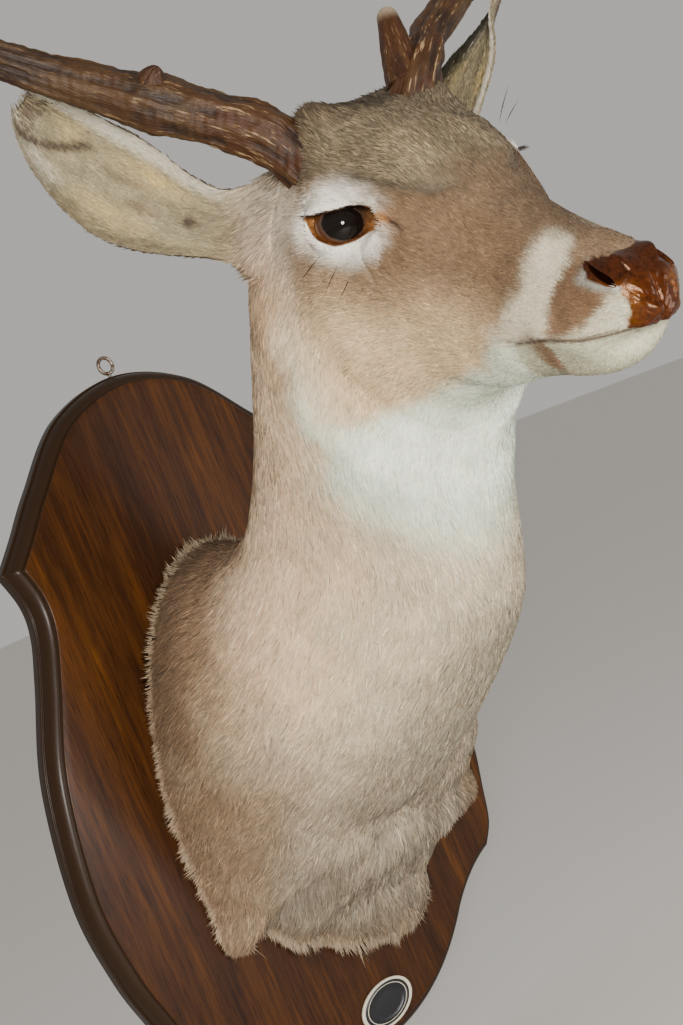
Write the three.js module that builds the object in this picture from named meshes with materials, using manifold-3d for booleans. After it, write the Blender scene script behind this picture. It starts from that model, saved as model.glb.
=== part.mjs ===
// White-tailed deer shoulder mount on a moulded wooden shield, life size, in millimetres.
// The wall is the plane y = 0, the board's flat back rests on it, and the animal looks out along -y.
// +z is up and +x is to the right of someone who faces the wall.
// The origin is the middle of the board's back.

import * as THREE from "three";
import { mergeVertices } from "three/addons/utils/BufferGeometryUtils.js";
import Module from "manifold-3d";

const wasm = await Module();
wasm.setup();

// ---------------------------------------------------------------- driving dimensions

const GAP = 0.3; // air kept between pieces that touch

// board
const BOARD_TOP = 293; // crown of the dome above the origin
const BOARD_BOTTOM = -277; // tip of the lower dome
const BOARD_THICK = 22;
const BOARD_WIDEST = 205.5; // half width at the belly of the shield
const EAR_X = 157; // half width at the upper cusps
const EAR_Z = 183; // their height
const WAIST_X = 149.5; // half width in the hollow under the cusps
const WAIST_Z = 157;
const FOOT_X = 166; // half width at the lower corners
const FOOT_Z = -200;
const TOE_X = 112; // where the lower hollow meets the lower dome
const TOE_Z = -227;
const BEAD_WIDTH = 8; // the rounded moulding along the rim
const BEAD_INSET = 1.6; // the step outside it
const RIM_HEIGHT = 9; // thickness at the step

// oval badge at the board's foot
const BADGE_HALF = 28; // half its width
const BADGE_ASPECT = 0.62; // height over width
const BADGE_X = -5;
const BADGE_Z = -246;
const BADGE_THICK = 2.2;

// screw ring that the board hangs by
const RING_RADIUS = 6.5;
const RING_WIRE = 1.5; // radius of its wire
const RING_SHANK = 9; // length of the screw under the ring
const RING_Y = -6.5;

// head pose: the eyes' midpoint, the turn to the animal's right, the nod and the tilt, in degrees
const EYES_AT = [-40, -409, 282];
const HEAD_TURN = -23.3;
const HEAD_NOD = -27.6;
const HEAD_TILT = 2.2;

// head: cross sections from the nose back, in the head's own frame (x forward from the eyes, z up)
// x of the top, height of the top, x of the bottom, height of the bottom, half width
const HEAD_SECTIONS = [
  [200, -9, 199.5, -18, 8],
  [193.5, 2.5, 191, -27, 16],
  [184.5, 9, 181.5, -41, 22.5],
  [174, 12, 169, -51.5, 26.5],
  [156, 14, 150, -59, 29],
  [132, 15, 130, -65, 31],
  [105, 18, 106, -74, 34],
  [78, 24, 82, -86, 38],
  [50, 35, 60, -97, 46],
  [18, 45, 42, -106, 55],
  [-17, 49, 30, -116, 63],
  [-52, 47, 24, -126, 72],
  [-88, 38, 21, -137, 79],
];

// neck and trunk: sections from the nape down to the board, in the part's frame
// nape point x, distance from the wall, z; the same of the throat point; half width; share of the turn
const BODY_SECTIONS = [
  [-12, 296, 332, -33, 355, 134, 80, 0.85],
  [-12, 257, 299, -31, 350, 116, 77, 0.7],
  [-10, 217, 259, -27, 344, 94, 72, 0.5],
  [-6, 180, 220, -20, 334, 68, 69, 0.35],
  [-3, 148, 185, -12, 316, 40, 71, 0.2],
  [0, 121, 157, -6, 284, 12, 80, 0.1],
  [0, 99, 144, -2, 236, -24, 91, 0],
  [0, 77, 140, 0, 182, -62, 102, 0],
  [0, 55, 142, 0, 128, -100, 113, 0],
  [0, 36, 146, 3, 78, -139, 121, 0],
  [0, BOARD_THICK + GAP, 150, 8, BOARD_THICK + GAP, -192, 126, 0],
];

const HEAD_COUNT = HEAD_SECTIONS.length;
const LAST = HEAD_COUNT + BODY_SECTIONS.length - 1;
const NECK_FROM = HEAD_COUNT - 0.2; // where head and neck part
const TRUNK_FROM = HEAD_COUNT + 4.5; // where neck and trunk part
const AROUND = 36; // facets round the body

// the brisket lies between the stumps of the forelegs, under the fold of the chest
const BRISKET_HALF = 78;
const BRISKET_TOP = -97;

// mouth line in the head's frame, forward and up: from the front of the lips to the corner
const LIP_FRONT = [194, -22];
const LIP_CORNER = [111, -46];

// nose pad: the part of the muzzle's end inside a ball, in the head's frame
const PAD_AT = [201, 0, -2];
const PAD_REACH = [25, 27, 20];

// eyes
const EYE_RADIUS = 16.5;
const EYE_AT = [-12, 50, -1]; // centre of the left eyeball in the head's frame

// ears, in the head's frame: root, the bend in the middle line, tip, and the way the hollow faces
const EARS = {
  right: { root: [-74, -58, -13], bend: [-136, -127, -12], tip: [-213, -158, 69], face: [0.6, -0.7, 0.39] },
  left: { root: [-82, 60, -13], bend: [-166, 116, 11], tip: [-182, 172, 60], face: [-0.54, 0.22, 0.81] },
};
const EAR_HALF = 34.5; // half width of the leaf, measured flat
const EAR_WALL = 6; // thickness of the leaf with its hair
const EAR_CUP = 17; // depth of its hollow
const EAR_STEPS = 12;
const EAR_AROUND = 18;

// antlers: each main beam's middle line in the head's frame, y outwards, and its radius along it
const BEAMS = {
  right: [[-50, 34, 10], [-72, 58, 40], [-100, 103, 65], [-128, 160, 95], [-140, 218, 130], [-124, 264, 172],
    [-80, 286, 212], [-20, 280, 248], [40, 250, 268]],
  left: [[-46, 14, 16], [-58, 34, 54], [-90, 66, 70], [-128, 118, 86], [-142, 184, 118], [-124, 240, 166],
    [-80, 270, 210], [-20, 272, 246], [40, 250, 268]],
};
const BEAM_RADII = {
  right: [15, 15, 14, 11, 9.8, 9.5, 8.5, 7, 2.5],
  left: [13.5, 12.5, 10, 10, 9.8, 9.5, 8.5, 7, 2.5],
};
const BEAM_AROUND = 8; // facets round a beam or a tine
// forks, by place along the beam, and the tine's middle line as offsets from there, with its radii
const FORKS = {
  right: [
    { at: 2.15, name: "brow_point", line: [[0, 0, 4], [4, -2, 14], [8, -4, 23]], radius: [13, 9, 2.5] },
    { at: 4.5, name: "second_tine", line: [[0, 0, 0], [8, 4, 62], [30, -4, 118]], radius: [8.5, 7, 2] },
    { at: 6.1, name: "third_tine", line: [[0, 0, 0], [6, 2, 48], [22, -4, 88]], radius: [7.5, 6, 2] },
  ],
  left: [
    { at: 0.95, name: "brow_tine", line: [[0, -6, 0], [-10, -4, 14], [-19, -2, 27], [-27, 0, 38]], radius: [12, 10, 7.5, 5.5] },
    { at: 4.5, name: "second_tine", line: [[0, 0, 0], [8, 4, 62], [30, -4, 118]], radius: [8.5, 7, 2] },
    { at: 6.1, name: "third_tine", line: [[0, 0, 0], [6, 2, 48], [22, -4, 88]], radius: [7.5, 6, 2] },
  ],
};

// ---------------------------------------------------------------- solids and meshes

const object = new THREE.Group();

// A closed geometry as a manifold solid.
function solidOf(geometry) {
  const bare = geometry.clone();
  bare.deleteAttribute("normal");
  bare.deleteAttribute("uv");
  const merged = mergeVertices(bare, 1e-4);
  return new wasm.Manifold(new wasm.Mesh({
    numProp: 3,
    vertProperties: new Float32Array(merged.attributes.position.array),
    triVerts: new Uint32Array(merged.index.array),
  }));
}

// A manifold solid as a geometry.
function geometryOf(solid) {
  const mesh = solid.getMesh();
  const geometry = new THREE.BufferGeometry();
  geometry.setAttribute("position", new THREE.BufferAttribute(new Float32Array(mesh.vertProperties), 3));
  geometry.setIndex(new THREE.BufferAttribute(new Uint32Array(mesh.triVerts), 1));
  return geometry;
}

// The largest piece of a solid, so that a cut leaves no crumbs.
function largest(solid) {
  return solid.decompose().sort((a, b) => b.volume() - a.volume())[0];
}

function addNode(name, shape, colour, roughness, metalness = 0) {
  const geometry = shape.isBufferGeometry ? shape : geometryOf(largest(shape));
  const material = new THREE.MeshStandardMaterial({ color: colour, roughness, metalness });
  const mesh = new THREE.Mesh(geometry, material);
  mesh.name = name;
  object.add(mesh);
}

// Rings of points, all with the same count, skinned into a closed surface with flat ends.
function skinRings(rings) {
  const around = rings[0].length;
  const points = rings.flat();
  const faces = [];
  for (let i = 0; i + 1 < rings.length; i++) {
    for (let j = 0; j < around; j++) {
      const a = i * around + j;
      const b = i * around + (j + 1) % around;
      faces.push(a, b, b + around, a, b + around, a + around);
    }
  }
  const ends = [0, rings.length - 1];
  ends.forEach((row, side) => {
    const middle = new THREE.Vector3();
    rings[row].forEach((p) => middle.addScaledVector(p, 1 / around));
    points.push(middle);
    const centre = points.length - 1;
    for (let j = 0; j < around; j++) {
      const a = row * around + j;
      const b = row * around + (j + 1) % around;
      faces.push(centre, side ? a : b, side ? b : a);
    }
  });
  const geometry = new THREE.BufferGeometry();
  geometry.setAttribute("position", new THREE.BufferAttribute(
    new Float32Array(points.flatMap((p) => [p.x, p.y, p.z])), 3));
  geometry.setIndex(faces);
  return outward(geometry);
}

// Turns the faces over where a surface came out inside out.
function outward(geometry) {
  const p = geometry.attributes.position;
  const index = geometry.index.array;
  const [a, b, c] = [new THREE.Vector3(), new THREE.Vector3(), new THREE.Vector3()];
  let volume = 0;
  for (let i = 0; i < index.length; i += 3) {
    a.fromBufferAttribute(p, index[i]);
    b.fromBufferAttribute(p, index[i + 1]);
    c.fromBufferAttribute(p, index[i + 2]);
    volume += a.dot(b.cross(c));
  }
  if (volume < 0) {
    geometry.setIndex(Array.from(index).reverse());
  }
  return geometry;
}

// ---------------------------------------------------------------- head frame

const deg = THREE.MathUtils.degToRad;
const headTurn = new THREE.Matrix4()
  .makeRotationZ(deg(HEAD_TURN))
  .multiply(new THREE.Matrix4().makeRotationX(deg(-HEAD_NOD)))
  .multiply(new THREE.Matrix4().makeRotationY(deg(HEAD_TILT)));

// A direction in the head's frame (forward, to the animal's left, up) as one in the part's frame.
function headDirection(forward, left, up) {
  return new THREE.Vector3(left, -forward, up).transformDirection(headTurn);
}

const FORWARD = headDirection(1, 0, 0);
const LEFT = headDirection(0, 1, 0);
const UP = headDirection(0, 0, 1);

function headPoint(forward, left, up) {
  return new THREE.Vector3(...EYES_AT)
    .addScaledVector(FORWARD, forward)
    .addScaledVector(LEFT, left)
    .addScaledVector(UP, up);
}

// ---------------------------------------------------------------- the body's skin line

// Both tables as one list of sections: top point, bottom point, half width, share of the turn.
const SECTIONS = [
  ...HEAD_SECTIONS.map(([xt, zt, xb, zb, half]) => [
    ...headPoint(xt, 0, zt).toArray(), ...headPoint(xb, 0, zb).toArray(), half, 1]),
  ...BODY_SECTIONS.map(([xt, outT, zt, xb, outB, zb, half, turn]) => [
    xt, -outT, zt, xb, -outB, zb, half, turn]),
];

// The sections' values at u, by a cubic through the neighbours.
function sectionAt(u) {
  const i = Math.min(Math.max(Math.floor(u), 0), LAST - 1);
  const t = u - i;
  const rows = [i - 1, i, i + 1, i + 2].map((k) => SECTIONS[Math.min(Math.max(k, 0), LAST)]);
  return rows[1].map((b, k) => {
    const [a, c, d] = [rows[0][k], rows[2][k], rows[3][k]];
    return b + 0.5 * t * (c - a + t * (2 * a - 5 * b + 4 * c - d + t * (3 * (b - c) + d - a)));
  });
}

const clamp01 = (x) => Math.min(Math.max(x, 0), 1);
const smooth = (a, b, x) => {
  const t = clamp01((x - a) / (b - a));
  return t * t * (3 - 2 * t);
};

// How square the section is above and below its widest level, and where that level is.
function sectionForm(u) {
  const trunk = smooth(HEAD_COUNT + 1, LAST, u);
  const muzzle = 1 - smooth(3, 8, u);
  const skull = smooth(6, 9, u) * (1 - smooth(HEAD_COUNT - 2, HEAD_COUNT + 1, u));
  return {
    upper: 1.9 + 0.1 * muzzle + 0.05 * skull - 0.1 * trunk,
    lower: 2.0 + 0.3 * muzzle + 0.35 * trunk,
    widest: 0.5 - 0.12 * skull + 0.12 * trunk,
  };
}

// Hollows and swellings: where, how far they reach, how far they push. Those of the first two lists are on both sides.
// On the head: forward, outwards, up, in the head's frame.
const HEAD_FEATURES = [
  { at: [-4, 60, 1], reach: [18, 20, 14], push: [0, -7, 0] }, // eye socket
  { at: [-10, 56, 24], reach: [26, 18, 11], push: [0, 5, 2] }, // brow
  { at: [34, 44, -4], reach: [11, 12, 9], push: [0, -4, 0] }, // tear pit
  { at: [40, 50, -26], reach: [34, 20, 13], push: [0, 4, 0] }, // cheek bone
  { at: [92, 34, -16], reach: [30, 16, 20], push: [0, -4, 0] }, // hollow before the cheek
  { at: [185, 26, 2], reach: [10, 10, 9], push: [0, 4, 1] }, // nostril wing
  { at: [150, 28, -30], reach: [26, 12, 10], push: [0, 3, 0] }, // upper lip
  { at: [-62, 62, 20], reach: [22, 24, 20], push: [0, -5, 0] }, // temple
  { at: [-5, 55, -80], reach: [40, 24, 24], push: [2, 5, 0] }, // jaw muscle
  { at: [-56, 36, 36], reach: [26, 20, 24], push: [0, 5, 15] }, // hair over the bone under an antler
  { at: [182, 13, 9], reach: [9, 8, 7], push: [1, 1, 4] }, // top of the nostril wing
  { at: [190, 0, -31], reach: [13, 26, 8], push: [-6, 0, 0] }, // step back under the lip
];
// On the trunk: from the wall, outwards, up, in the part's frame.
const TRUNK_FEATURES = [
  { at: [36, 120, -126], reach: [44, 28, 26], push: [0, 11, -16] }, // stump of the foreleg
  { at: [30, 84, -160], reach: [44, 16, 24], push: [0, 0, 25] }, // notch inside it
  { at: [112, 74, -62], reach: [50, 30, 32], push: [-7, -5, 0] }, // hollow of the armpit
  { at: [120, 92, 30], reach: [60, 40, 60], push: [6, 6, 0] }, // shoulder blade
  { at: [160, 0, -96], reach: [30, 60, 13], push: [-8, 0, 4] }, // fold above the brisket
  { at: [120, 0, -125], reach: [40, 46, 24], push: [7, 0, -2] }, // brisket
];

// The same where the hide hangs unevenly as the head turns away: on the left and, where y is below 0, on the right.
const LEFT_FEATURES = [
  { at: [112, 66, -66], reach: [44, 38, 34], push: [8, 36, 2] }, // bulge below the neck
  { at: [64, 84, -122], reach: [44, 40, 40], push: [8, 34, -6] }, // brisket's far side
  { at: [30, 34, -182], reach: [50, 44, 26], push: [4, 14, -18] }, // its lowest fold
  { at: [30, -48, -180], reach: [44, 22, 26], push: [0, 0, 13] }, // where it draws in beside the leg
];

// The push that features give a point, seen from an origin along three axes, on both sides or as they stand.
function featurePush(features, p, origin, [forward, left, up], both = true) {
  const d = p.clone().sub(origin);
  const [x, y, z] = [d.dot(forward), d.dot(left), d.dot(up)];
  const side = both ? clamp01(0.5 + y / 8) * 2 - 1 : 1;
  const push = new THREE.Vector3();
  for (const { at, reach, push: [px, py, pz] } of features) {
    const far = ((x - at[0]) / reach[0]) ** 2 + (((both ? Math.abs(y) : y) - at[1]) / reach[1]) ** 2
      + ((z - at[2]) / reach[2]) ** 2;
    const share = Math.exp(-far);
    push.addScaledVector(forward, px * share)
      .addScaledVector(left, side * py * share)
      .addScaledVector(up, pz * share);
  }
  return push;
}

const EYES_MIDDLE = headPoint(0, 0, 0);
const HEAD_AXES = [FORWARD, LEFT, UP];
const ORIGIN = new THREE.Vector3();
const TRUNK_AXES = [new THREE.Vector3(0, -1, 0), new THREE.Vector3(1, 0, 0), new THREE.Vector3(0, 0, 1)];

// The ring of the body's outline at u, grown outwards by grow.
function bodyRing(u, grow = 0) {
  const s = sectionAt(u);
  const top = new THREE.Vector3(s[0], s[1], s[2]);
  const bottom = new THREE.Vector3(s[3], s[4], s[5]);
  const { upper, lower, widest } = sectionForm(u);
  const along = top.clone().sub(bottom);
  const height = along.length();
  along.normalize();
  const side = new THREE.Vector3(1, 0, 0).lerp(LEFT, clamp01(s[7]));
  side.addScaledVector(along, -side.dot(along)).normalize();
  const middle = top.clone().addScaledVector(along, -widest * height);
  const ring = [];
  for (let j = 0; j < AROUND; j++) {
    const angle = 2 * Math.PI * j / AROUND;
    const [c, q] = [Math.cos(angle), Math.sin(angle)];
    const power = 2 / (c > 0 ? upper : lower);
    const reach = (c > 0 ? widest : 1 - widest) * height + grow;
    const p = middle.clone()
      .addScaledVector(along, Math.sign(c) * reach * Math.abs(c) ** power)
      .addScaledVector(side, Math.sign(q) * (s[6] + grow) * Math.abs(q) ** power);
    const push = featurePush(HEAD_FEATURES, p, EYES_MIDDLE, HEAD_AXES)
      .add(featurePush(TRUNK_FEATURES, p, ORIGIN, TRUNK_AXES))
      .add(featurePush(LEFT_FEATURES, p, ORIGIN, TRUNK_AXES, false));
    push.y = Math.min(push.y, -BOARD_THICK - GAP - p.y);
    ring.push(p.add(push));
  }
  return ring;
}

// Evenly spaced places along the body.
function stops(from, to, count) {
  return Array.from({ length: count + 1 }, (_, k) => from + (to - from) * k / count);
}

// The body through these places, as one solid.
function bodySolid(places, grow = 0) {
  return solidOf(skinRings(places.map((u) => bodyRing(u, grow))));
}

// ---------------------------------------------------------------- ears

// The ear as a leaf rolled round its root: a crescent section carried from the root to the tip.
function earSolid({ root, bend, tip, face }) {
  const spine = new THREE.QuadraticBezierCurve3(headPoint(...root), headPoint(...bend), headPoint(...tip));
  const rings = [];
  for (let i = 0; i <= EAR_STEPS; i++) {
    const t = i / EAR_STEPS;
    const leaf = (0.6 + 0.4 * smooth(0.2, 0.62, t)) * Math.sqrt(1 - Math.max(0, (t - 0.55) / 0.47) ** 1.8);
    const width = EAR_HALF * leaf;
    const cup = EAR_CUP * leaf * (1 - 0.45 * t);
    const wall = EAR_WALL + 16 * (1 - smooth(0, 0.35, t)) - 3 * t;
    const axis = spine.getTangent(t);
    const front = headDirection(...face);
    front.addScaledVector(axis, -front.dot(axis)).normalize();
    const across = axis.clone().cross(front);
    const middle = spine.getPoint(t).addScaledVector(front, -cup * 0.5);
    const ring = [];
    for (let j = 0; j < EAR_AROUND; j++) {
      const angle = 2 * Math.PI * j / EAR_AROUND;
      const q = Math.sin(angle);
      const lift = cup * q * q + wall * 0.5 * Math.cos(angle);
      ring.push(middle.clone().addScaledVector(across, width * q).addScaledVector(front, lift));
    }
    rings.push(ring);
  }
  return solidOf(skinRings(rings));
}

// ---------------------------------------------------------------- antlers

// A round bar of changing radius through these places along a curve that never runs along across.
function taperedBar(curve, places, radiusAt, across, grow = 0) {
  const rings = places.map((t) => {
    const tangent = curve.getTangent(t);
    const side = across.clone().cross(tangent).normalize();
    const up = tangent.clone().cross(side);
    const centre = curve.getPoint(t);
    const radius = radiusAt(t) + grow;
    return Array.from({ length: BEAM_AROUND }, (_, j) => {
      const angle = 2 * Math.PI * j / BEAM_AROUND;
      return centre.clone()
        .addScaledVector(side, radius * Math.cos(angle))
        .addScaledVector(up, radius * Math.sin(angle));
    });
  });
  return solidOf(skinRings(rings));
}

// A value along a list of equally spaced ones.
function along(values, t) {
  const place = clamp01(t) * (values.length - 1);
  const i = Math.min(Math.floor(place), values.length - 2);
  return values[i] + (values[i + 1] - values[i]) * (place - i);
}

function beamCurve(side, mirror) {
  return new THREE.CatmullRomCurve3(BEAMS[side].map(([x, y, z]) => headPoint(x, mirror * y, z)));
}

// One antler: the beam in lengths between its forks, and the tines that leave it there.
function makeAntler(side, mirror, headSolid) {
  const curve = beamCurve(side, mirror);
  const last = BEAMS[side].length - 1;
  const radiusAt = (t) => along(BEAM_RADII[side], t);
  const forks = FORKS[side];
  const cuts = [0, ...forks.map((fork) => (fork.at + 0.3) / last), 1];
  const names = ["base", "beam_lower", "beam_upper", "beam_tip"];
  const air = GAP / 2 / curve.getLength();
  const lengths = names.map((_, k) => {
    const [from, to] = [cuts[k] + (k ? air : 0), cuts[k + 1] - (k < 3 ? air : 0)];
    return stops(from, to, Math.max(4, Math.round(22 * (to - from))));
  });
  const whole = taperedBar(curve, lengths.flat(), radiusAt, UP, GAP);
  lengths.forEach((places, k) => {
    const bar = taperedBar(curve, places, radiusAt, UP);
    addNode(`antler_${side}_${names[k]}`, k ? bar : bar.subtract(headSolid), 0x5f4536, 0.7);
  });
  for (const fork of forks) {
    const start = curve.getPoint(fork.at / last);
    const line = new THREE.CatmullRomCurve3(fork.line.map(([x, y, z]) => start.clone()
      .add(headPoint(x, mirror * y, z)).sub(headPoint(0, 0, 0))));
    const tine = taperedBar(line, stops(0, 1, 6), (t) => along(fork.radius, t), FORWARD);
    addNode(`antler_${side}_${fork.name}`, tine.subtract(whole).subtract(headSolid), 0x6a4d3b, 0.7);
  }
}

// ---------------------------------------------------------------- head and body

// A box in the head's frame between two corners, turned nose down about its upper rear edge.
function headBox(low, high, nod) {
  const size = high.map((v, i) => v - low[i]);
  const box = new THREE.BoxGeometry(size[0], size[1], size[2]);
  box.translate(size[0] / 2, 0, -size[2] / 2);
  box.rotateY(deg(nod));
  const frame = new THREE.Matrix4().makeBasis(FORWARD, LEFT, UP);
  box.applyMatrix4(frame);
  const corner = headPoint(low[0], 0, high[2]);
  box.translate(corner.x, corner.y, corner.z);
  return solidOf(box);
}

function headBall(at, radii) {
  const ball = new THREE.SphereGeometry(1, 12, 8);
  ball.scale(...radii);
  ball.applyMatrix4(new THREE.Matrix4().makeBasis(FORWARD, LEFT, UP));
  const centre = headPoint(...at);
  ball.translate(centre.x, centre.y, centre.z);
  return solidOf(ball);
}

const mouthSlope = THREE.MathUtils.radToDeg(
  Math.atan2(LIP_CORNER[1] - LIP_FRONT[1], LIP_FRONT[0] - LIP_CORNER[0]));

const AIR = 0.02; // half the gap between head, neck and trunk, as a share of a section's spacing
const headStops = stops(0, NECK_FROM - AIR, 27);
const neckStops = stops(NECK_FROM + AIR, TRUNK_FROM - AIR, 10);
const wholeHead = bodySolid(headStops);
const grownBody = bodySolid([...headStops, ...neckStops.slice(0, 6)], GAP);
const neck = bodySolid(neckStops);
const trunk = bodySolid(stops(TRUNK_FROM + AIR, LAST, 11));

const jawSize = [140, 100, 90];
const jawLow = [LIP_CORNER[0], -jawSize[1] / 2, LIP_CORNER[1] - jawSize[2]];
const jawHigh = [LIP_CORNER[0] + jawSize[0], jawSize[1] / 2, LIP_CORNER[1]];
const jawBox = headBox(jawLow, jawHigh, mouthSlope);
const jawRoom = headBox(
  [jawLow[0] - GAP, jawLow[1], jawLow[2]], [jawHigh[0], jawHigh[1], jawHigh[2] + GAP], mouthSlope);
const padBall = headBall(PAD_AT, PAD_REACH);
const padRoom = headBall(PAD_AT, PAD_REACH.map((r) => r + GAP));

let skull = wholeHead.subtract(jawRoom).subtract(padRoom);
const sides = [["right", -1], ["left", 1]];
for (const [side, mirror] of sides) {
  const eyeAt = [EYE_AT[0], mirror * EYE_AT[1], EYE_AT[2]];
  const eye = headBall(eyeAt, Array(3).fill(EYE_RADIUS));
  const socket = headBall(eyeAt, Array(3).fill(EYE_RADIUS + GAP));
  skull = skull.subtract(socket);
  addNode(`eye_${side}`, eye, 0x1a100a, 0.05);
  const ear = earSolid(EARS[side]).subtract(grownBody);
  addNode(`ear_${side}`, ear, 0xcfc6b2, 0.95);
  makeAntler(side, mirror, grownBody);
}
addNode("head", skull, 0xb99a7c, 0.95);
addNode("lower_jaw", wholeHead.intersect(jawBox), 0xd8d0c2, 0.95);
addNode("nose_pad", wholeHead.subtract(jawRoom).intersect(padBall), 0x4a2415, 0.35);
addNode("neck", neck, 0xc9ab8c, 0.95);

// The room of the brisket, taller and deeper than the trunk is there.
function brisketBox(grow) {
  const [height, depth] = [200, 400];
  const box = new THREE.BoxGeometry(2 * (BRISKET_HALF + grow), depth, height);
  box.translate(0, 0, BRISKET_TOP + grow - height / 2);
  return solidOf(box);
}
addNode("shoulders", trunk.subtract(brisketBox(GAP)), 0xbf9c7a, 0.95);
addNode("brisket", trunk.intersect(brisketBox(0)), 0xd6c8b4, 0.95);

// ---------------------------------------------------------------- board, badge and hanger

// The right half of the shield's outline, from the crown of the dome to the tip of the lower one.
function halfOutline() {
  const point = (x, z) => new THREE.Vector2(x, z);
  const dome = new THREE.SplineCurve([
    point(0, BOARD_TOP), point(0.4 * EAR_X, BOARD_TOP - 17), point(0.7 * EAR_X, BOARD_TOP - 60),
    point(0.87 * EAR_X, EAR_Z + 21), point(EAR_X, EAR_Z)]);
  const flank = new THREE.SplineCurve([
    point(EAR_X, EAR_Z), point(WAIST_X, WAIST_Z), point(WAIST_X + 2, WAIST_Z - 24),
    point(WAIST_X + 14.5, WAIST_Z - 57), point(BOARD_WIDEST - 14.5, 34), point(BOARD_WIDEST, -50),
    point(BOARD_WIDEST - 5, -112), point(FOOT_X + 24, -153), point(FOOT_X + 15, FOOT_Z + 18), point(FOOT_X, FOOT_Z)]);
  const hollow = new THREE.QuadraticBezierCurve(
    point(FOOT_X, FOOT_Z), point(138, FOOT_Z - 6), point(TOE_X, TOE_Z));
  const foot = new THREE.QuadraticBezierCurve(
    point(TOE_X, TOE_Z), point(0.55 * TOE_X, BOARD_BOTTOM + 2), point(0, BOARD_BOTTOM));
  return [[dome, 9], [flank, 18], [hollow, 4], [foot, 6]]
    .flatMap(([curve, count]) => curve.getPoints(count).slice(0, count));
}

// The closed outline moved inwards by inset.
function outline(inset) {
  const right = halfOutline();
  const left = right.slice(1).reverse().map((p) => new THREE.Vector2(-p.x, p.y));
  const points = [...right, new THREE.Vector2(0, BOARD_BOTTOM), ...left];
  return points.map((p, i) => {
    const before = points[(i + points.length - 1) % points.length];
    const after = points[(i + 1) % points.length];
    const inward = new THREE.Vector2(after.y - before.y, before.x - after.x).normalize();
    return p.clone().addScaledVector(inward, inset);
  });
}

// The edge from the wall to the face: inset from the outline and height above the wall.
const EDGE = [
  [0, 0], [0, RIM_HEIGHT - 0.8], [BEAD_INSET, RIM_HEIGHT], [BEAD_INSET + 0.3, RIM_HEIGHT + 4.5],
  [BEAD_INSET + 0.35 * BEAD_WIDTH, RIM_HEIGHT + 9.5], [BEAD_INSET + 0.75 * BEAD_WIDTH, RIM_HEIGHT + 11.7],
  [BEAD_INSET + BEAD_WIDTH, BOARD_THICK - 2], [BEAD_INSET + BEAD_WIDTH + 0.6, BOARD_THICK]];
let board = solidOf(skinRings(EDGE.map(([inset, height]) => outline(inset)
  .map((p) => new THREE.Vector3(p.x, -height, p.y)))));

const ringAt = new THREE.Vector3(0, RING_Y, BOARD_TOP + RING_RADIUS + 3);
const torus = new THREE.TorusGeometry(RING_RADIUS, RING_WIRE, 6, 16);
torus.rotateX(Math.PI / 2);
torus.translate(ringAt.x, ringAt.y, ringAt.z);
function shank(radius, length) {
  const bar = new THREE.CylinderGeometry(radius, radius, length, 10);
  bar.rotateX(Math.PI / 2);
  bar.translate(0, RING_Y, ringAt.z - RING_RADIUS - length / 2 + 0.5);
  return solidOf(bar);
}
board = board.subtract(shank(RING_WIRE + GAP, RING_SHANK + GAP));
addNode("board", board, 0x4b2c17, 0.4);
addNode("hanger_ring", solidOf(torus).add(shank(RING_WIRE, RING_SHANK)), 0x6d6458, 0.45, 0.8);

// a raised rim round a flat field
const badgeProfile = [
  [0, 0], [BADGE_HALF, 0], [BADGE_HALF, BADGE_THICK - 0.6], [BADGE_HALF - 1, BADGE_THICK],
  [BADGE_HALF - 3.5, BADGE_THICK], [BADGE_HALF - 4, BADGE_THICK - 0.5], [0, BADGE_THICK - 0.5]];
const badge = new THREE.LatheGeometry(badgeProfile.map(([r, h]) => new THREE.Vector2(r, h)), 24);
badge.rotateX(Math.PI);
badge.scale(1, 1, BADGE_ASPECT);
badge.translate(BADGE_X, -BOARD_THICK - GAP, BADGE_Z);
addNode("badge", solidOf(badge), 0xd9d2be, 0.35);

export default object;
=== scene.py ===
"""A white-tailed buck's shoulder mount on a moulded wooden shield, hung on a wall.

The wall is the plane y = 0 and +z is up. The animal faces out along -y, its head turned to its own right.
Sizes are written in millimetres and turned into metres where a mesh is made.
"""

import bpy
import numpy as np
from mathutils import Matrix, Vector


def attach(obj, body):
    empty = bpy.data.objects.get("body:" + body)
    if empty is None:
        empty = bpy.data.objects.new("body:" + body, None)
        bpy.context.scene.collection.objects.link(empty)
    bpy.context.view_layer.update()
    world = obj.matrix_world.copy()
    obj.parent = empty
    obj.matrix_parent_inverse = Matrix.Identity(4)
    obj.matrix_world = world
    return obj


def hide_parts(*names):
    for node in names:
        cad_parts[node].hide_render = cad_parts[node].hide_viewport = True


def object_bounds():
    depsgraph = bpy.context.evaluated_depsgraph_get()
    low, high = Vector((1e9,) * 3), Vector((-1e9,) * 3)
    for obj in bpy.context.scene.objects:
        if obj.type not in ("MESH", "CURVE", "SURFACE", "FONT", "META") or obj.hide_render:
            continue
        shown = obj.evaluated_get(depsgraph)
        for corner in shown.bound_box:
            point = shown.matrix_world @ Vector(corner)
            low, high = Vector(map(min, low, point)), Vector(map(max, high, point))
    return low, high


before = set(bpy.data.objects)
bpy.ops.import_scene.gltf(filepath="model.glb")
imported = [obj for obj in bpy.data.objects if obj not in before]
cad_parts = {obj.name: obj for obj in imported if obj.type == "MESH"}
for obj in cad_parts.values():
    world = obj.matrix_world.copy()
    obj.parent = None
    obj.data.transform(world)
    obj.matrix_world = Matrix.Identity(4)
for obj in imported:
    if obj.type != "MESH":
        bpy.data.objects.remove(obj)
cad_low, cad_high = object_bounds()

# ------------------------------------------------------------------------------------------------
# The room: a pale floor under the hanging mount, an even sky of soft light, a lamp beside the viewer and
# a weaker, broader one low on the animal's left. The viewer stands to its right and tilts the head.

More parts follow.
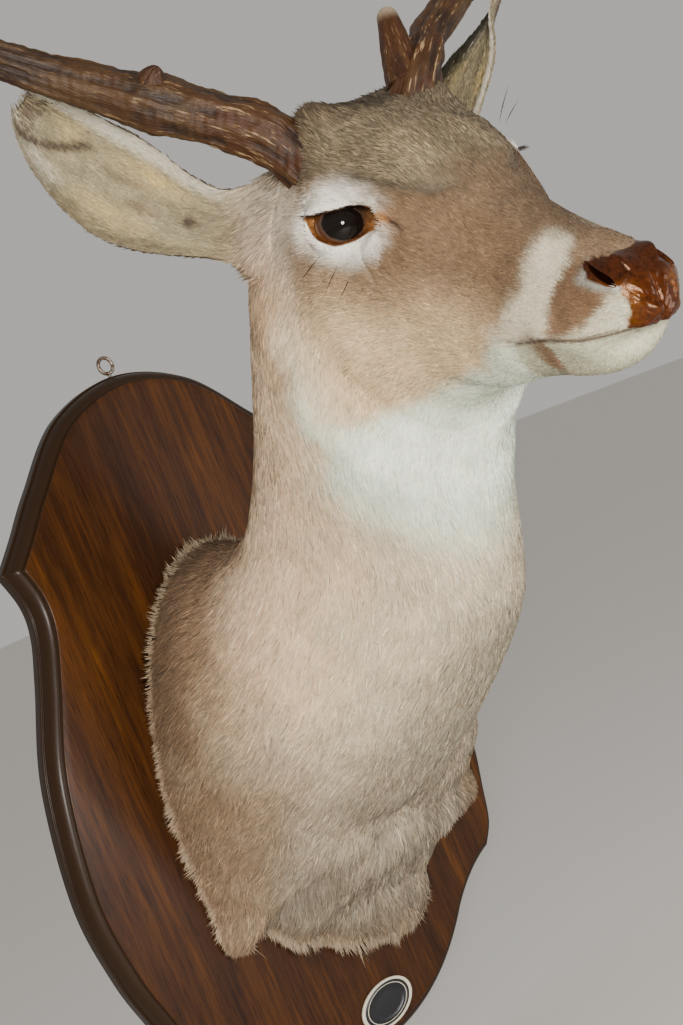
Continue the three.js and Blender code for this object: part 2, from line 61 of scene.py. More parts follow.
MM = 0.001
VIEWER = (-0.6585, -0.9306, 0.1840)
VIEWER_TURN = (86.74, 22.9, -43.08)
LENS = 50.33
FLOOR_DROP = 0.05


def aim(thing, place, target):
    """Puts a lamp at a place with its beam, its own -z, pointing at a target."""
    away = np.array(place) - np.array(target)
    away = away / np.linalg.norm(away)
    side = np.cross((0.0, 0.0, 1.0), away)
    side = side / np.linalg.norm(side)
    rows = np.stack([side, np.cross(away, side), away], 1)
    thing.matrix_world = Matrix.Translation(place) @ Matrix(rows.tolist()).to_4x4()


def make_lamp(name, place, target, size, power, colour):
    data = bpy.data.lights.new(name, "AREA")
    data.shape = "DISK"
    data.size = size
    data.energy = power
    data.color = colour
    lamp = bpy.data.objects.new(name, data)
    bpy.context.scene.collection.objects.link(lamp)
    aim(lamp, place, target)


def make_room():
    data = bpy.data.cameras.new("viewer")
    data.lens = LENS
    data.sensor_width = 36
    data.clip_start = 0.01
    viewer = bpy.data.objects.new("viewer", data)
    viewer.location = VIEWER
    viewer.rotation_euler = np.radians(VIEWER_TURN)
    bpy.context.scene.collection.objects.link(viewer)
    bpy.context.scene.camera = viewer
    make_lamp("key", (-0.95, -1.22, 0.22), (0, -0.3, 0.05), 0.30, 26, (1, 0.965, 0.92))
    make_lamp("fill", (0.55, -1.7, -0.1), (0, -0.2, 0.0), 0.7, 14, (0.97, 0.98, 1))
    world = bpy.data.worlds.new("sky")
    world.use_nodes = True
    world.node_tree.nodes["Background"].inputs["Color"].default_value = (0.80, 0.77, 0.73, 1)
    world.node_tree.nodes["Background"].inputs["Strength"].default_value = 0.62
    bpy.context.scene.world = world
    floor = new_piece(
        "floor",
        np.array([[-9.0, -9.0, 0], [9.0, -9.0, 0], [9.0, 9.0, 0], [-9.0, 9.0, 0]]) / MM
        + np.array([0, 0, (cad_low.z - FLOOR_DROP) / MM]),
        np.array([[0, 1, 2, 3]]),
    )
    paint = plain_material("floor_paint", (0.72, 0.70, 0.67), 0.9)
    floor.data.materials.append(paint)


def new_piece(name, points, *face_arrays):
    """A smooth mesh object from points in millimetres and arrays of faces, each array of one corner count."""
    mesh = bpy.data.meshes.new(name)
    mesh.vertices.add(len(points))
    mesh.vertices.foreach_set("co", (np.asarray(points) * MM).ravel())
    corners = np.concatenate([f.ravel() for f in face_arrays])
    counts = np.concatenate([np.full(len(f), f.shape[1]) for f in face_arrays])
    starts = np.concatenate([[0], np.cumsum(counts)[:-1]])
    mesh.loops.add(len(corners))
    mesh.loops.foreach_set("vertex_index", corners.astype(np.int32))
    mesh.polygons.add(len(counts))
    mesh.polygons.foreach_set("loop_start", starts.astype(np.int32))
    mesh.update(calc_edges=True)
    mesh.polygons.foreach_set("use_smooth", np.ones(len(counts), bool))
    mesh.validate()
    piece = bpy.data.objects.new(name, mesh)
    bpy.context.scene.collection.objects.link(piece)
    return piece


def plain_material(name, colour, roughness):
    """A material with a Principled shader of one colour and roughness, which other sections add to."""
    material = bpy.data.materials.new(name)
    material.use_nodes = True
    shader = material.node_tree.nodes["Principled BSDF"]
    shader.inputs["Base Color"].default_value = (*colour, 1)
    shader.inputs["Roughness"].default_value = roughness
    return material


make_room()

# ------------------------------------------------------------------------------------------------
# The form: the manikin's shape under the skin, as one lengthwise surface from the nose to the board.
# It runs through cross sections of the head, in the head's own frame, and of the neck and trunk.

EYES_MIDDLE = np.array([-40.0, -409.0, 282.0])
HEAD_TURN, HEAD_NOD, HEAD_TILT = np.radians((-23.3, -27.6, 2.2))
BOARD_THICK = 22.0
BACK = BOARD_THICK + 0.3

# x of the top, height of the top, x of the bottom, height of the bottom, half width
HEAD_SECTIONS = np.array([
    [200, -9, 199.5, -18, 8],
    [193.5, 2.5, 191, -27, 16],
    [184.5, 9, 181.5, -41, 22.5],
    [174, 12, 169, -51.5, 26.5],
    [156, 14, 150, -59, 29],
    [132, 15, 130, -65, 31],
    [105, 18, 106, -74, 34],
    [78, 24, 82, -86, 38],
    [50, 35, 60, -97, 46],
    [18, 45, 42, -106, 55],
    [-17, 49, 30, -116, 63],
    [-52, 47, 24, -126, 72],
    [-88, 38, 21, -137, 79],
])
# nape x, distance from the wall, z; the same of the throat; half width; share of the head's turn
BODY_SECTIONS = np.array([
    [-12, 296, 332, -33, 355, 134, 80, 0.85],
    [-12, 257, 299, -31, 350, 116, 77, 0.7],
    [-10, 217, 259, -27, 344, 94, 72, 0.5],
    [-6, 180, 220, -20, 334, 68, 69, 0.35],
    [-3, 148, 185, -12, 316, 40, 71, 0.2],
    [0, 121, 157, -6, 284, 12, 80, 0.1],
    [0, 99, 144, -2, 236, -24, 91, 0],
    [0, 77, 140, 0, 182, -62, 102, 0],
    [0, 55, 142, 0, 128, -100, 113, 0],
    [0, 36, 146, 3, 78, -139, 121, 0],
    [0, BACK, 150, 8, BACK, -192, 126, 0],
])
NECK = len(HEAD_SECTIONS)
LAST = NECK + len(BODY_SECTIONS) - 1


def turn_matrix(axis, angle):
    """The right-handed turn about x, y or z, as a matrix."""
    i, j = [(1, 2), (2, 0), (0, 1)][axis]
    turn = np.eye(3)
    turn[i, i] = turn[j, j] = np.cos(angle)
    turn[j, i] = np.sin(angle)
    turn[i, j] = -np.sin(angle)
    return turn


# columns: forward, to the animal's left, up
HEAD_AXES = turn_matrix(2, HEAD_TURN) @ turn_matrix(0, -HEAD_NOD) @ turn_matrix(1, HEAD_TILT) @ np.array(
    [[0, 1, 0], [-1, 0, 0], [0, 0, 1]])
FORWARD, LEFT, UP = HEAD_AXES.T


def from_head(points):
    """Points in the head's frame (forward, left, up from between the eyes) in the part's frame."""
    return EYES_MIDDLE + np.asarray(points, float) @ HEAD_AXES.T


def to_head(points):
    return (points - EYES_MIDDLE) @ HEAD_AXES


def sections():
    """Each section's top point, bottom point, half width and share of the head's turn, nose to board."""
    zero = np.zeros(NECK)
    xt, zt, xb, zb, half = HEAD_SECTIONS.T
    head = np.column_stack([
        from_head(np.column_stack([xt, zero, zt])), from_head(np.column_stack([xb, zero, zb])),
        half, zero + 1])
    xn, yn, zn, xh, yh, zh, half, turn = BODY_SECTIONS.T
    body = np.column_stack([xn, -yn, zn, xh, -yh, zh, half, turn])
    return np.concatenate([head, body])


SECTIONS = sections()


def cubic(table, place):
    """Rows of a table at places between them, by the cubic through the four nearest rows."""
    i = np.clip(np.floor(place).astype(int), 0, len(table) - 2)
    t = (place - i)[..., None]
    a, b, c, d = (table[np.clip(i + k, 0, len(table) - 1)] for k in (-1, 0, 1, 2))
    return b + 0.5 * t * (c - a + t * (2 * a - 5 * b + 4 * c - d + t * (3 * (b - c) + d - a)))


def smooth(low, high, x):
    """0 below low, 1 above high, and 3t^2 - 2t^3 between them."""
    t = np.clip((x - low) / (high - low), 0, 1)
    return t * t * (3 - 2 * t)


def unit(v):
    return v / np.linalg.norm(v, axis=-1, keepdims=True)


def bump(x, middle, reach):
    """A bell, exp(-((x - middle) / reach)^2)."""
    return np.exp(-((x - middle) / reach) ** 2)


# where, how far they reach, how far they push: forward, outwards, up, on both sides of the head
HEAD_FEATURES = np.array([
    [[-4, 60, 1], [18, 20, 14], [0, -7, 0]],  # eye socket
    [[-10, 56, 24], [26, 18, 11], [0, 5, 2]],  # brow
    [[34, 44, -4], [11, 12, 9], [0, -4, 0]],  # tear pit
    [[40, 50, -26], [34, 20, 13], [0, 4, 0]],  # cheek bone
    [[92, 34, -16], [30, 16, 20], [0, -4, 0]],  # hollow before the cheek
    [[185, 26, 2], [10, 10, 9], [0, 4, 1]],  # nostril wing
    [[150, 28, -30], [26, 12, 10], [0, 3, 0]],  # upper lip
    [[-62, 62, 20], [22, 24, 20], [0, -5, 0]],  # temple
    [[-5, 55, -80], [40, 24, 24], [2, 5, 0]],  # jaw muscle
    [[-56, 36, 36], [26, 20, 24], [0, 5, 15]],  # hair over the bone under an antler
    [[182, 13, 9], [9, 8, 7], [1, 1, 4]],  # top of the nostril wing
    [[190, 0, -31], [13, 26, 8], [-6, 0, 0]],  # step back under the lip
])
# the same on the trunk: from the wall, outwards, up
TRUNK_FEATURES = np.array([
    [[36, 120, -126], [44, 28, 26], [0, 11, -16]],  # stump of the foreleg
    [[30, 84, -160], [44, 16, 24], [0, 0, 25]],  # notch inside it
    [[112, 74, -62], [50, 30, 32], [-7, -5, 0]],  # hollow of the armpit
    [[120, 92, 30], [60, 40, 60], [6, 6, 0]],  # shoulder blade
    [[160, 0, -96], [30, 60, 13], [-8, 0, 4]],  # fold above the brisket
    [[120, 0, -125], [40, 46, 24], [7, 0, -2]],  # brisket
])
# the same on one side only, where the hide hangs unevenly: the left or, where outwards is below 0, the right
LEFT_FEATURES = np.array([
    [[112, 66, -66], [44, 38, 34], [8, 36, 2]],  # bulge below the neck
    [[64, 84, -122], [44, 40, 40], [8, 34, -6]],  # brisket's far side
    [[30, 34, -182], [50, 44, 26], [4, 14, -18]],  # its lowest fold
    [[30, -48, -180], [44, 22, 26], [0, 0, 13]],  # where it draws in beside the leg
])
TRUNK_AXES = np.array([[0, 1, 0], [-1, 0, 0], [0, 0, 1]])


def feature_push(features, points, origin, axes, both=True):
    """The sum of the features' pushes, each by exp(-(distance / reach)^2), on both sides or as they stand."""
    own = (points - origin) @ axes
    side = np.clip(0.5 + own[..., 1] / 8, 0, 1) * 2 - 1 if both else np.ones(own.shape[:-1])
    folded = own * np.array([1, 0, 1]) + np.abs(own) * np.array([0, 1, 0]) if both else own
    total = np.zeros_like(points)
    for at, reach, push in features:
        share = np.exp(-(((folded - at) / reach) ** 2).sum(-1))
        mirrored = np.stack([push[0] + 0 * side, push[1] * side, push[2] + 0 * side], -1)
        total += share[..., None] * mirrored
    return total @ axes.T


NOSE_DOME = 2.0


def outer_form(place, turn):
    """The coat's outline at a place along the body and a turn round it, from the top towards the left.

    Each section is an oval between its top and bottom point: reach times |cos|^(2/n) along their line and
    half width times |sin|^(2/n) across it. Places from -1 to 0 close the nose with a low dome.
    """
    rows = cubic(SECTIONS, np.maximum(place, 0))
    top, bottom, half, share = rows[..., :3], rows[..., 3:6], rows[..., 6:7], rows[..., 7:8]
    trunk = smooth(NECK + 1, LAST, place)
    muzzle = 1 - smooth(3, 8, place)
    skull = smooth(6, 9, place) * (1 - smooth(NECK - 2, NECK + 1, place))
    upper = 1.9 + 0.1 * muzzle + 0.05 * skull - 0.1 * trunk
    lower = 2.0 + 0.3 * muzzle + 0.35 * trunk
    widest = (0.5 - 0.12 * skull + 0.12 * trunk)[..., None]
    height = np.linalg.norm(top - bottom, axis=-1, keepdims=True)
    line = (top - bottom) / height
    side = np.array([1.0, 0, 0]) * (1 - share) + LEFT * share
    side = unit(side - line * (side * line).sum(-1, keepdims=True))
    middle = top - line * widest * height
    c, s = np.cos(turn), np.sin(turn)
    power = 2 / np.where(c > 0, upper, lower)
    reach = np.where(c[..., None] > 0, widest, 1 - widest) * height
    points = middle + line * reach * (np.sign(c) * np.abs(c) ** power)[..., None]
    points = points + side * half * (np.sign(s) * np.abs(s) ** power)[..., None]
    shrink = 1 - np.clip(-place, 0, 1)[..., None]
    points = middle + (points - middle) * shrink + FORWARD * NOSE_DOME * (1 - shrink ** 2)
    push = feature_push(HEAD_FEATURES, points, EYES_MIDDLE, HEAD_AXES)
    push = push + feature_push(TRUNK_FEATURES, points, np.zeros(3), TRUNK_AXES)
    push = push + feature_push(LEFT_FEATURES, points, np.zeros(3), TRUNK_AXES, False)
    push[..., 1] = np.minimum(push[..., 1], -BACK - points[..., 1])
    return points + push


# ------------------------------------------------------------------------------------------------
# The skin: one hide from the nose to the board, ears, lids and nostrils included, glued to the form.
# It is a grid of rows down the body and columns round it. An ear, an eye or a nostril takes a block
# of cells out of the grid and carries on from the block's edge, so there is no seam.

COLUMNS = 208
SPACING_HEAD, SPACING_TRUNK = 1.45, 4.6
# how deep the coat is over the skin, along the body
COAT_PLACES = [-1, 0, 2, 4, 7, 9, 12, 14, 18, LAST]
COAT_DEPTHS = [0.2, 0.3, 0.5, 0.7, 0.9, 1.1, 2.0, 2.8, 3.6, 4.0]


def row_places():
    """Places along the body so that neighbouring rows lie the wanted spacing apart."""
    fine = np.linspace(-1, LAST, 2400)
    turns = np.linspace(0, 2 * np.pi, 12, endpoint=False)
    points = outer_form(*np.broadcast_arrays(fine[:, None], turns[None]))
    step = np.linalg.norm(np.diff(points, axis=0), axis=-1).max(1)
    spacing = SPACING_HEAD + (SPACING_TRUNK - SPACING_HEAD) * smooth(NECK - 1, NECK + 3, fine[1:])
    count = np.concatenate([[0], np.cumsum(step / spacing)])
    return np.interp(np.arange(1, int(count[-1]) + 1), count, fine)


def patchy(points, size, seed):
    """Soft random shades between about -1 and 1: nine sines in random directions, about a size long."""
    draw = np.random.default_rng(seed)
    ways = unit(draw.normal(size=(9, 3))) * 2 * np.pi / size * draw.uniform(0.6, 1.5, (9, 1))
    return np.sin(points @ ways.T + draw.uniform(0, 7, 9)).sum(-1) / 3


def slopes(points):
    """A grid's steps down the body and round it, its last column joining its first, and its normals."""
    down = np.gradient(points, axis=0)
    across = np.roll(points, -1, 1) - np.roll(points, 1, 1)
    return unit(down), unit(across), unit(np.cross(across, down))


MOUTH_X = [98, 111, 146, 170, 187, 195, 204]
MOUTH_Z = [-51, -46, -33.5, -28, -22.5, -22, -22]


def brow_line(x):
    """Height of the crease over the eye, along the head: it runs from the lid's middle to the bridge."""
    return np.interp(x, [-14, 4, 21, 35, 50, 63], [27, 27, 25, 22, 22, 24])


def tear_slit(x, z):
    """1 along the tear pit's slit before the eye's front corner, falling to 0 beside it."""
    middle = np.interp(x, [29, 34, 39, 45], [8.2, 8.0, 6.0, 2.6])
    return np.exp(-((z - middle) / 2.0) ** 2) * smooth(28, 32, x) * (1 - smooth(42, 46, x))


def mouth_height(own):
    """How far a point in the head's frame lies above the line between the lips."""
    return own[..., 2] - np.interp(own[..., 0], MOUTH_X, MOUTH_Z)


def leg_crease(points, width):
    """1 in the crease between the foreleg's panel of hide and the brisket, falling to 0 a width away."""
    side, out, high = points[..., 0], -points[..., 1], points[..., 2]
    reach = smooth(-108, -92, side) * (1 - smooth(-52, -30, side))
    reach = reach * smooth(24, 40, out) * (1 - smooth(120, 150, out))
    return reach * bump(high, np.interp(side, [-100, -83, -60, -45], [-135, -116, -109, -107]), width)


def neck_crease(points, width):
    """The same between the neck and the bulge on its left."""
    side, out, high = points[..., 0], -points[..., 1], points[..., 2]
    reach = smooth(-112, -80, high) * (1 - smooth(-26, -8, high)) * smooth(90, 120, out)
    return reach * bump(side, np.interp(high, [-98, -69, -40, -18], [34, 40, 40, 32]), width)


def fine_relief(own, points):
    """Height of the skin's smaller shapes over the form: lips and folds, in millimetres outwards."""
    x, y, z = own[..., 0], np.abs(own[..., 1]), own[..., 2]
    above = mouth_height(own)
    mouth = smooth(106, 118, x)
    relief = -2.6 * mouth * bump(above, -0.2, 1.5)
    relief += 0.7 * mouth * bump(above, 3.5, 2.6)
    relief -= 1.3 * mouth * smooth(0, -3, above) * (1 - smooth(-14, -26, above))
    # the fold above the eye and the furrow from its front corner towards the muzzle
    over_eye = smooth(-24, -4, x) * (1 - smooth(52, 70, x)) * smooth(10, 20, y)
    relief -= 1.5 * bump(z, brow_line(x), 2.4) * over_eye
    relief += 1.0 * bump(z, brow_line(x) + 6, 4) * over_eye
    relief -= 2.6 * tear_slit(x, z) * smooth(26, 34, y)
    # the pad's lumps, the groove down its middle and the hump over each nostril
    pad = smooth(188, 197, x) * smooth(0, 3, above)
    relief += pad * (0.5 * patchy(points, 9, 23) + 0.15 * patchy(points, 3.6, 24) - 1.3 * bump(y, 0, 1.5))
    relief += 1.6 * np.exp(-(((x - 183) / 8) ** 2 + ((y - 15) / 7) ** 2 + ((z - 9) / 3.5) ** 2))
    # where the jaw meets the throat, and the chest's hanging folds
    relief -= 1.6 * bump(z + 0.25 * (x - 60), -92, 9) * smooth(20, 60, x) * (1 - smooth(96, 116, x))
    out, side, high = -points[..., 1], points[..., 0], points[..., 2]
    chest = smooth(30, 60, out) * (1 - smooth(70, 110, np.abs(side)))
    relief -= 7.0 * leg_crease(points, 6)
    fold = np.interp(side, [-60, 0, 45], [-78, -92, -108])
    lobe = np.interp(side, [-60, 0, 45], [-104, -116, -130])
    relief -= 3.5 * chest * bump(high, fold, 8) * smooth(-76, -50, side)
    relief += 4.0 * chest * bump(high, lobe, 14) * smooth(-70, -40, side)
    relief -= 3.0 * chest * bump(high + 0.2 * (side - 19), -158, 7) * smooth(-30, 0, side)
    relief -= 6.0 * neck_crease(points, 6)
    relief += 1.2 * patchy(points, 30, 25) * smooth(-60, -100, high) * smooth(20, 40, out)
    return relief


def body_grid():
    """The skin's grid: each point's place and turn, and the point, sunk under the coat by its depth."""
    places = row_places()
    turns = np.arange(COLUMNS) * 2 * np.pi / COLUMNS
    place, turn = np.broadcast_arrays(places[:, None], turns[None])
    points = outer_form(place, turn)
    normals = slopes(points)[2]
    relief = fine_relief(to_head(points), points)
    depth = np.interp(place, COAT_PLACES, COAT_DEPTHS)
    points = points + normals * (relief - depth)[..., None]
    points[..., 1] = np.minimum(points[..., 1], -BACK)
    return place, turn, points


body_place, body_turn, body_points = body_grid()
ROWS = len(body_points)


def block_edge(row0, row1, column0, column1):
    """The grid numbers round a block of cells, right-handed about the outward direction."""
    r, c = np.arange(row0, row1 + 1), np.arange(column0, column1 + 1)
    walk_r = np.concatenate([np.full(len(c) - 1, row0), r[:-1], np.full(len(c) - 1, row1), r[:0:-1]])
    walk_c = np.concatenate([c[:-1], np.full(len(r) - 1, column1), c[:0:-1], np.full(len(r) - 1, column0)])
    return walk_r * COLUMNS + walk_c


def block_round(point, half_rows, half_columns):
    """The block of cells round the grid point nearest to a point: its bounds and its edge's numbers."""
    row, column = np.unravel_index(np.argmin(((body_points - point) ** 2).sum(-1)), (ROWS, COLUMNS))
    bounds = (row - half_rows, row + half_rows, column - half_columns, column + half_columns)
    return bounds, block_edge(*bounds)


# eyes: the ball, the way its opening faces and the margin of the lids, as along the slit, up, outwards
EYE_AT = np.array([-12.0, 50.0, -1.0])
EYE_RADIUS = 16.5
EYE_FACES = np.radians((45, 10, -6))
LID_SHELL = 19.0
LID_MARGIN = np.array([
    [-20, 4.2, 7.5], [-10, 6.6, 13.2], [-1, 9.2, 15.4], [7, 11.4, 13.4], [13, 12.2, 11.8], [20, 11.4, 11.8],
    [26, 8.4, 12.6], [32, 4.0, 13.4], [25, 1.2, 12.6], [19, -1.2, 12.2], [13, -4.6, 12.4], [2, -8.4, 14.6],
    [-8.5, -7.4, 13.0], [-14.5, -4.6, 9.0], [-18, -0.5, 6.5]])
LID_MIDDLE = np.array([4.0, 1.6])
LID_STEPS = [0.12, 0.26, 0.4, 0.52, 0.63, 0.73, 0.81, 0.88, 0.93, 0.97, 1.0]


def eye_axes(mirror):
    """Columns: along the slit towards the nose, up and outwards, in the head's frame, for one side's eye."""
    azimuth, lift, tilt = EYE_FACES
    out = np.array([np.sin(azimuth) * np.cos(lift), np.cos(azimuth) * np.cos(lift), np.sin(lift)])
    along = np.array([np.cos(azimuth), -np.sin(azimuth), 0])
    up = np.cross(out, along)
    up = up * np.sign(up[2])
    slit = np.cos(tilt) * along + np.sin(tilt) * up
    up = np.cos(tilt) * up - np.sin(tilt) * along
    return np.stack([slit, up, out], 1) * np.array([[1], [mirror], [1]])


def closed_curve(points, count):
    """A smooth closed curve through points, by the cubic through four neighbours."""
    around = np.concatenate([points[-1:], points, points[:2]])
    return cubic(around, 1 + np.arange(count) * len(points) / count)


def to_eye(points, mirror):
    return (to_head(points) - EYE_AT * np.array([1, mirror, 1])) @ eye_axes(mirror)


def from_eye(own, mirror):
    return from_head(EYE_AT * np.array([1, mirror, 1]) + own @ eye_axes(mirror).T)


def lid_rings(edge, mirror):
    """Rings from the block's edge to the lids' margin and on behind the eyeball.

    Along the slit and up a ring goes straight from edge to margin. Its height is the greater of the face, a
    sixth-degree surface fitted to the grid, and a shell over the eyeball, with the join rounded off.
    """
    bounds, rim = edge
    own_edge = to_eye(body_points.reshape(-1, 3)[rim], mirror)
    margin = closed_curve(LID_MARGIN, 400)
    angle = np.arctan2(*(margin[:, :2] - LID_MIDDLE).T[::-1])
    order = np.argsort(angle)
    want = np.arctan2(*(own_edge[:, :2] - LID_MIDDLE).T[::-1])
    margin = np.stack([
        np.interp(want, angle[order], margin[order, k], period=2 * np.pi) for k in range(3)], 1)
    r0, r1, c0, c1 = bounds
    face = to_eye(body_points[r0:r1 + 1, c0:c1 + 1].reshape(-1, 3), mirror)

    def powers(p):
        x, y = p[..., 0] / 34, p[..., 1] / 34
        return np.stack([x ** i * y ** j for i in range(7) for j in range(7 - i)], -1)

    fit = np.linalg.lstsq(powers(face), face[:, 2], rcond=None)[0]
    error = own_edge[:, 2] - powers(own_edge) @ fit
    rings = [own_edge]
    for step in LID_STEPS:
        ring = own_edge + (margin - own_edge) * step
        base = powers(ring) @ fit + error * (1 - step)
        shell = np.sqrt(np.maximum(LID_SHELL ** 2 - (ring[:, 0] / 1.12) ** 2 - ring[:, 1] ** 2, 0))
        height = np.logaddexp(base / 1.5, shell / 1.5) * 1.5
        share = smooth(0.55, 1.0, step)
        ring[:, 2] = height * (1 - share) + (margin[:, 2] + 0.5) * share
        rings.append(ring)
    centre = np.array([*LID_MIDDLE, 0])
    for shrink, drop in ((0.97, 0.1), (0.93, -1.2), (0.84, -4.0)):
        rings.append(centre + (margin - centre) * np.array([shrink, shrink, 1]) + np.array([0, 0, drop]))
    behind = unit(rings[-1] * np.array([0.8, 0.8, 1])) * EYE_RADIUS * 0.9
    rings.append(behind)
    return np.stack([from_eye(ring, mirror) for ring in rings])


# nostrils: the middle of the opening, its half length and half height
NOSTRIL_AT = np.array([178.5, 17.0, 5.0])
NOSTRIL_LONG, NOSTRIL_HIGH = 11.5, 2.0


def nostril_rings(edge, mirror):
    """Rings from the block's edge to the nostril's rim, a drop with its tail behind, and into the pit."""
    rim = body_points.reshape(-1, 3)[edge[1]]
    middle = rim.mean(0)
    out = unit(np.cross(*np.diff(rim[[0, len(rim) // 3, 2 * len(rim) // 3]], axis=0)))
    out = out * np.sign(out @ (LEFT * mirror + 0.2 * UP))
    along = unit(FORWARD - out * (FORWARD @ out) - 0.25 * UP)
    along = unit(along - out * (along @ out))
    up = np.cross(out, along) * mirror
    own = np.stack([(rim - middle) @ v for v in (along, up, out)], -1)
    angle = np.arctan2(own[:, 1] / NOSTRIL_HIGH, own[:, 0] / NOSTRIL_LONG)
    front = 0.5 + 0.5 * np.cos(angle)
    hole = np.stack([
        NOSTRIL_LONG * np.cos(angle), NOSTRIL_HIGH * np.sin(angle) * (0.45 + 0.75 * front)
        - 1.6 * np.cos(angle) ** 2 * (1 - front), 0 * angle], -1)
    rings = [own]
    for step in (0.2, 0.4, 0.6, 0.78, 0.9, 1.0):
        ring = own + (hole - own) * step
        ring[:, 2] = own[:, 2] * (1 - step) + step * (0.5 + 2.2 * smooth(-2, 3, ring[:, 1]))
        rings.append(ring)
    for shrink, drop, back in (
            (0.93, 0.9, 0), (0.86, -0.6, -0.3), (0.8, -2.5, -1), (0.7, -5, -2.5), (0.5, -8, -5)):
        rings.append(hole * shrink + np.array([back, 0, drop]))
    rows_of = np.stack(rings)
    return middle + rows_of[..., :1] * along + rows_of[..., 1:2] * up + rows_of[..., 2:] * out


# ears: root, the bend in the middle line and tip in the head's frame, and the way the hollow faces
EARS = {
    "right": {"root": [-74, -58, -13], "bend": [-136, -127, -12], "tip": [-213, -158, 69],
              "face": [0.6, -0.7, 0.39]},
    "left": {"root": [-82, 60, -13], "bend": [-166, 116, 11], "tip": [-182, 172, 60],
             "face": [-0.54, 0.22, 0.81]},
}
EAR_HALF, EAR_WALL, EAR_CUP = 34.5, 6.0, 17.0
EAR_COAT = 1.6
EAR_RINGS = 64


def ear_frame(ear, t):
    """Points of the ear's bent middle line at t, with the directions along, out of the hollow and across."""
    root, bend, tip = (from_head(ear[k]) for k in ("root", "bend", "tip"))
    t = t[:, None]
    line = root * (1 - t) ** 2 + bend * 2 * t * (1 - t) + tip * t ** 2
    axis = unit((bend - root) * (1 - t) + (tip - bend) * t)
    front = HEAD_AXES @ np.array(ear["face"])
    front = unit(front - axis * (axis @ front)[:, None])
    return line, axis, front, np.cross(axis, front)


def ear_rings(edge, ear):
    """Rings from the block's edge up the ear to its tip.

    Each is a crescent: across is width times sin, and the lift out of the hollow is cup times sin^2 plus half
    the wall times cos. Near the root the rings are still the block's edge, moved along the ear.
    """
    rim = body_points.reshape(-1, 3)[edge[1]]
    t = np.linspace(0, 1, EAR_RINGS + 1)[1:] ** 1.05
    t = np.append(t[:-1], [0.997])
    line, _, front, across = ear_frame(ear, t)
    leaf = (0.6 + 0.4 * smooth(0.2, 0.62, t)) * np.sqrt(1 - np.maximum(0, (t - 0.55) / 0.47) ** 1.8)
    width = (EAR_HALF - EAR_COAT) * leaf
    cup = EAR_CUP * leaf * (1 - 0.45 * t)
    wall = EAR_WALL + 16 * (1 - smooth(0, 0.35, t)) - 3 * t - 2 * EAR_COAT
    from_middle = rim - rim.mean(0)
    start = np.arctan2(from_middle[0] @ across[0], from_middle[0] @ front[0])
    angle = start + 2 * np.pi * np.arange(len(rim)) / len(rim)
    q, c = np.sin(angle), np.cos(angle)
    inside = np.clip(c, 0, 1)[None]
    tt, qq = t[:, None], q[None]
    ribs = 1.6 * bump(qq, 0.30 - 0.15 * tt, 0.09) + 1.1 * bump(qq, -0.25 + 0.1 * tt, 0.08)
    ribs = ribs + 0.8 * bump(qq, 0.02, 0.06) - 1.0 * bump(qq, 0.14, 0.05)
    relief = ribs * np.sqrt(inside) * smooth(0.1, 0.3, tt) * (1 - smooth(0.6, 0.95, tt))
    canal = -6.0 * bump(qq, 0.0, 0.35) * bump(tt, 0.17, 0.06) * inside
    curl = 2.0 * np.sin(9 * tt + 1.0) * np.abs(qq) ** 3
    lift = cup[:, None] * q ** 2 + wall[:, None] / 2 * c + relief + canal
    lift = lift + curl * leaf[:, None] * (1 - 0.5 * tt)
    middle = line - front * cup[:, None] * 0.5
    rings = (middle[:, None] + across[:, None] * (width[:, None] * q)[..., None]
             + front[:, None] * lift[..., None])
    base = rim[None] + (line - line[0])[:, None]
    share = smooth(0.0, 0.26, t)[:, None, None]
    rings = base * (1 - share) + rings * share
    return np.concatenate([rim[None], rings]), t, q, c


# the three kinds of opening on each side, with the block of cells each takes
patches = {}
for side, mirror in (("right", -1), ("left", 1)):
    flip = np.array([1, mirror, 1])
    lids = block_round(from_eye(np.array([4.0, 1.5, 15.0]), mirror), 25, 13)
    patches["eye_" + side] = (lids[0], lids[1], lid_rings(lids, mirror))
    hole = block_round(from_head(NOSTRIL_AT * flip), 12, 11)
    patches["nostril_" + side] = (hole[0], hole[1], nostril_rings(hole, mirror))
    root = block_round(from_head(EARS[side]["root"]), 9, 10)
    patches["ear_" + side] = (root[0], root[1], ear_rings(root, EARS[side])[0])


def ring_quads(numbers):
    """Quads between the rows of a grid of point numbers whose last column joins its first."""
    after = np.roll(numbers, -1, 1)
    return np.stack([numbers[:-1], after[:-1], after[1:], numbers[1:]], -1)


def close_end(ring, pole, last):
    """The fan of triangles between a ring and one point."""
    after = np.roll(ring, -1)
    poles = np.full(len(ring), pole)
    return np.stack([ring, after, poles] if last else [poles, after, ring], -1)


def build_hide():
    """All the skin's points, its quads and its end fans, and each patch's grid of point numbers."""
    points = [body_points.reshape(-1, 3)]
    numbers = np.arange(ROWS * COLUMNS).reshape(ROWS, COLUMNS)
    cells = ring_quads(numbers)
    keep = np.ones(cells.shape[:2], bool)
    count = ROWS * COLUMNS
    grids = {}
    quads, fans = [], []
    for name, (bounds, edge, rings) in patches.items():
        r0, r1, c0, c1 = bounds
        keep[r0:r1, c0:c1] = False
        fresh = rings[1:]
        grid = np.arange(count, count + fresh.shape[0] * fresh.shape[1]).reshape(fresh.shape[:2])
        count += grid.size
        grids[name] = np.concatenate([edge[None], grid])
        quads.append(ring_quads(grids[name]).reshape(-1, 4))
        points += [fresh.reshape(-1, 3), fresh[-1].mean(0)[None]]
        fans.append(close_end(grid[-1], count, True))
        count += 1
    nose, back = body_points[0].mean(0), body_points[-1].mean(0)
    points += [nose[None], back[None]]
    fans += [close_end(numbers[0], count, False), close_end(numbers[-1], count + 1, True)]
    return np.concatenate(points), np.concatenate([cells[keep], *quads]), np.concatenate(fans), grids


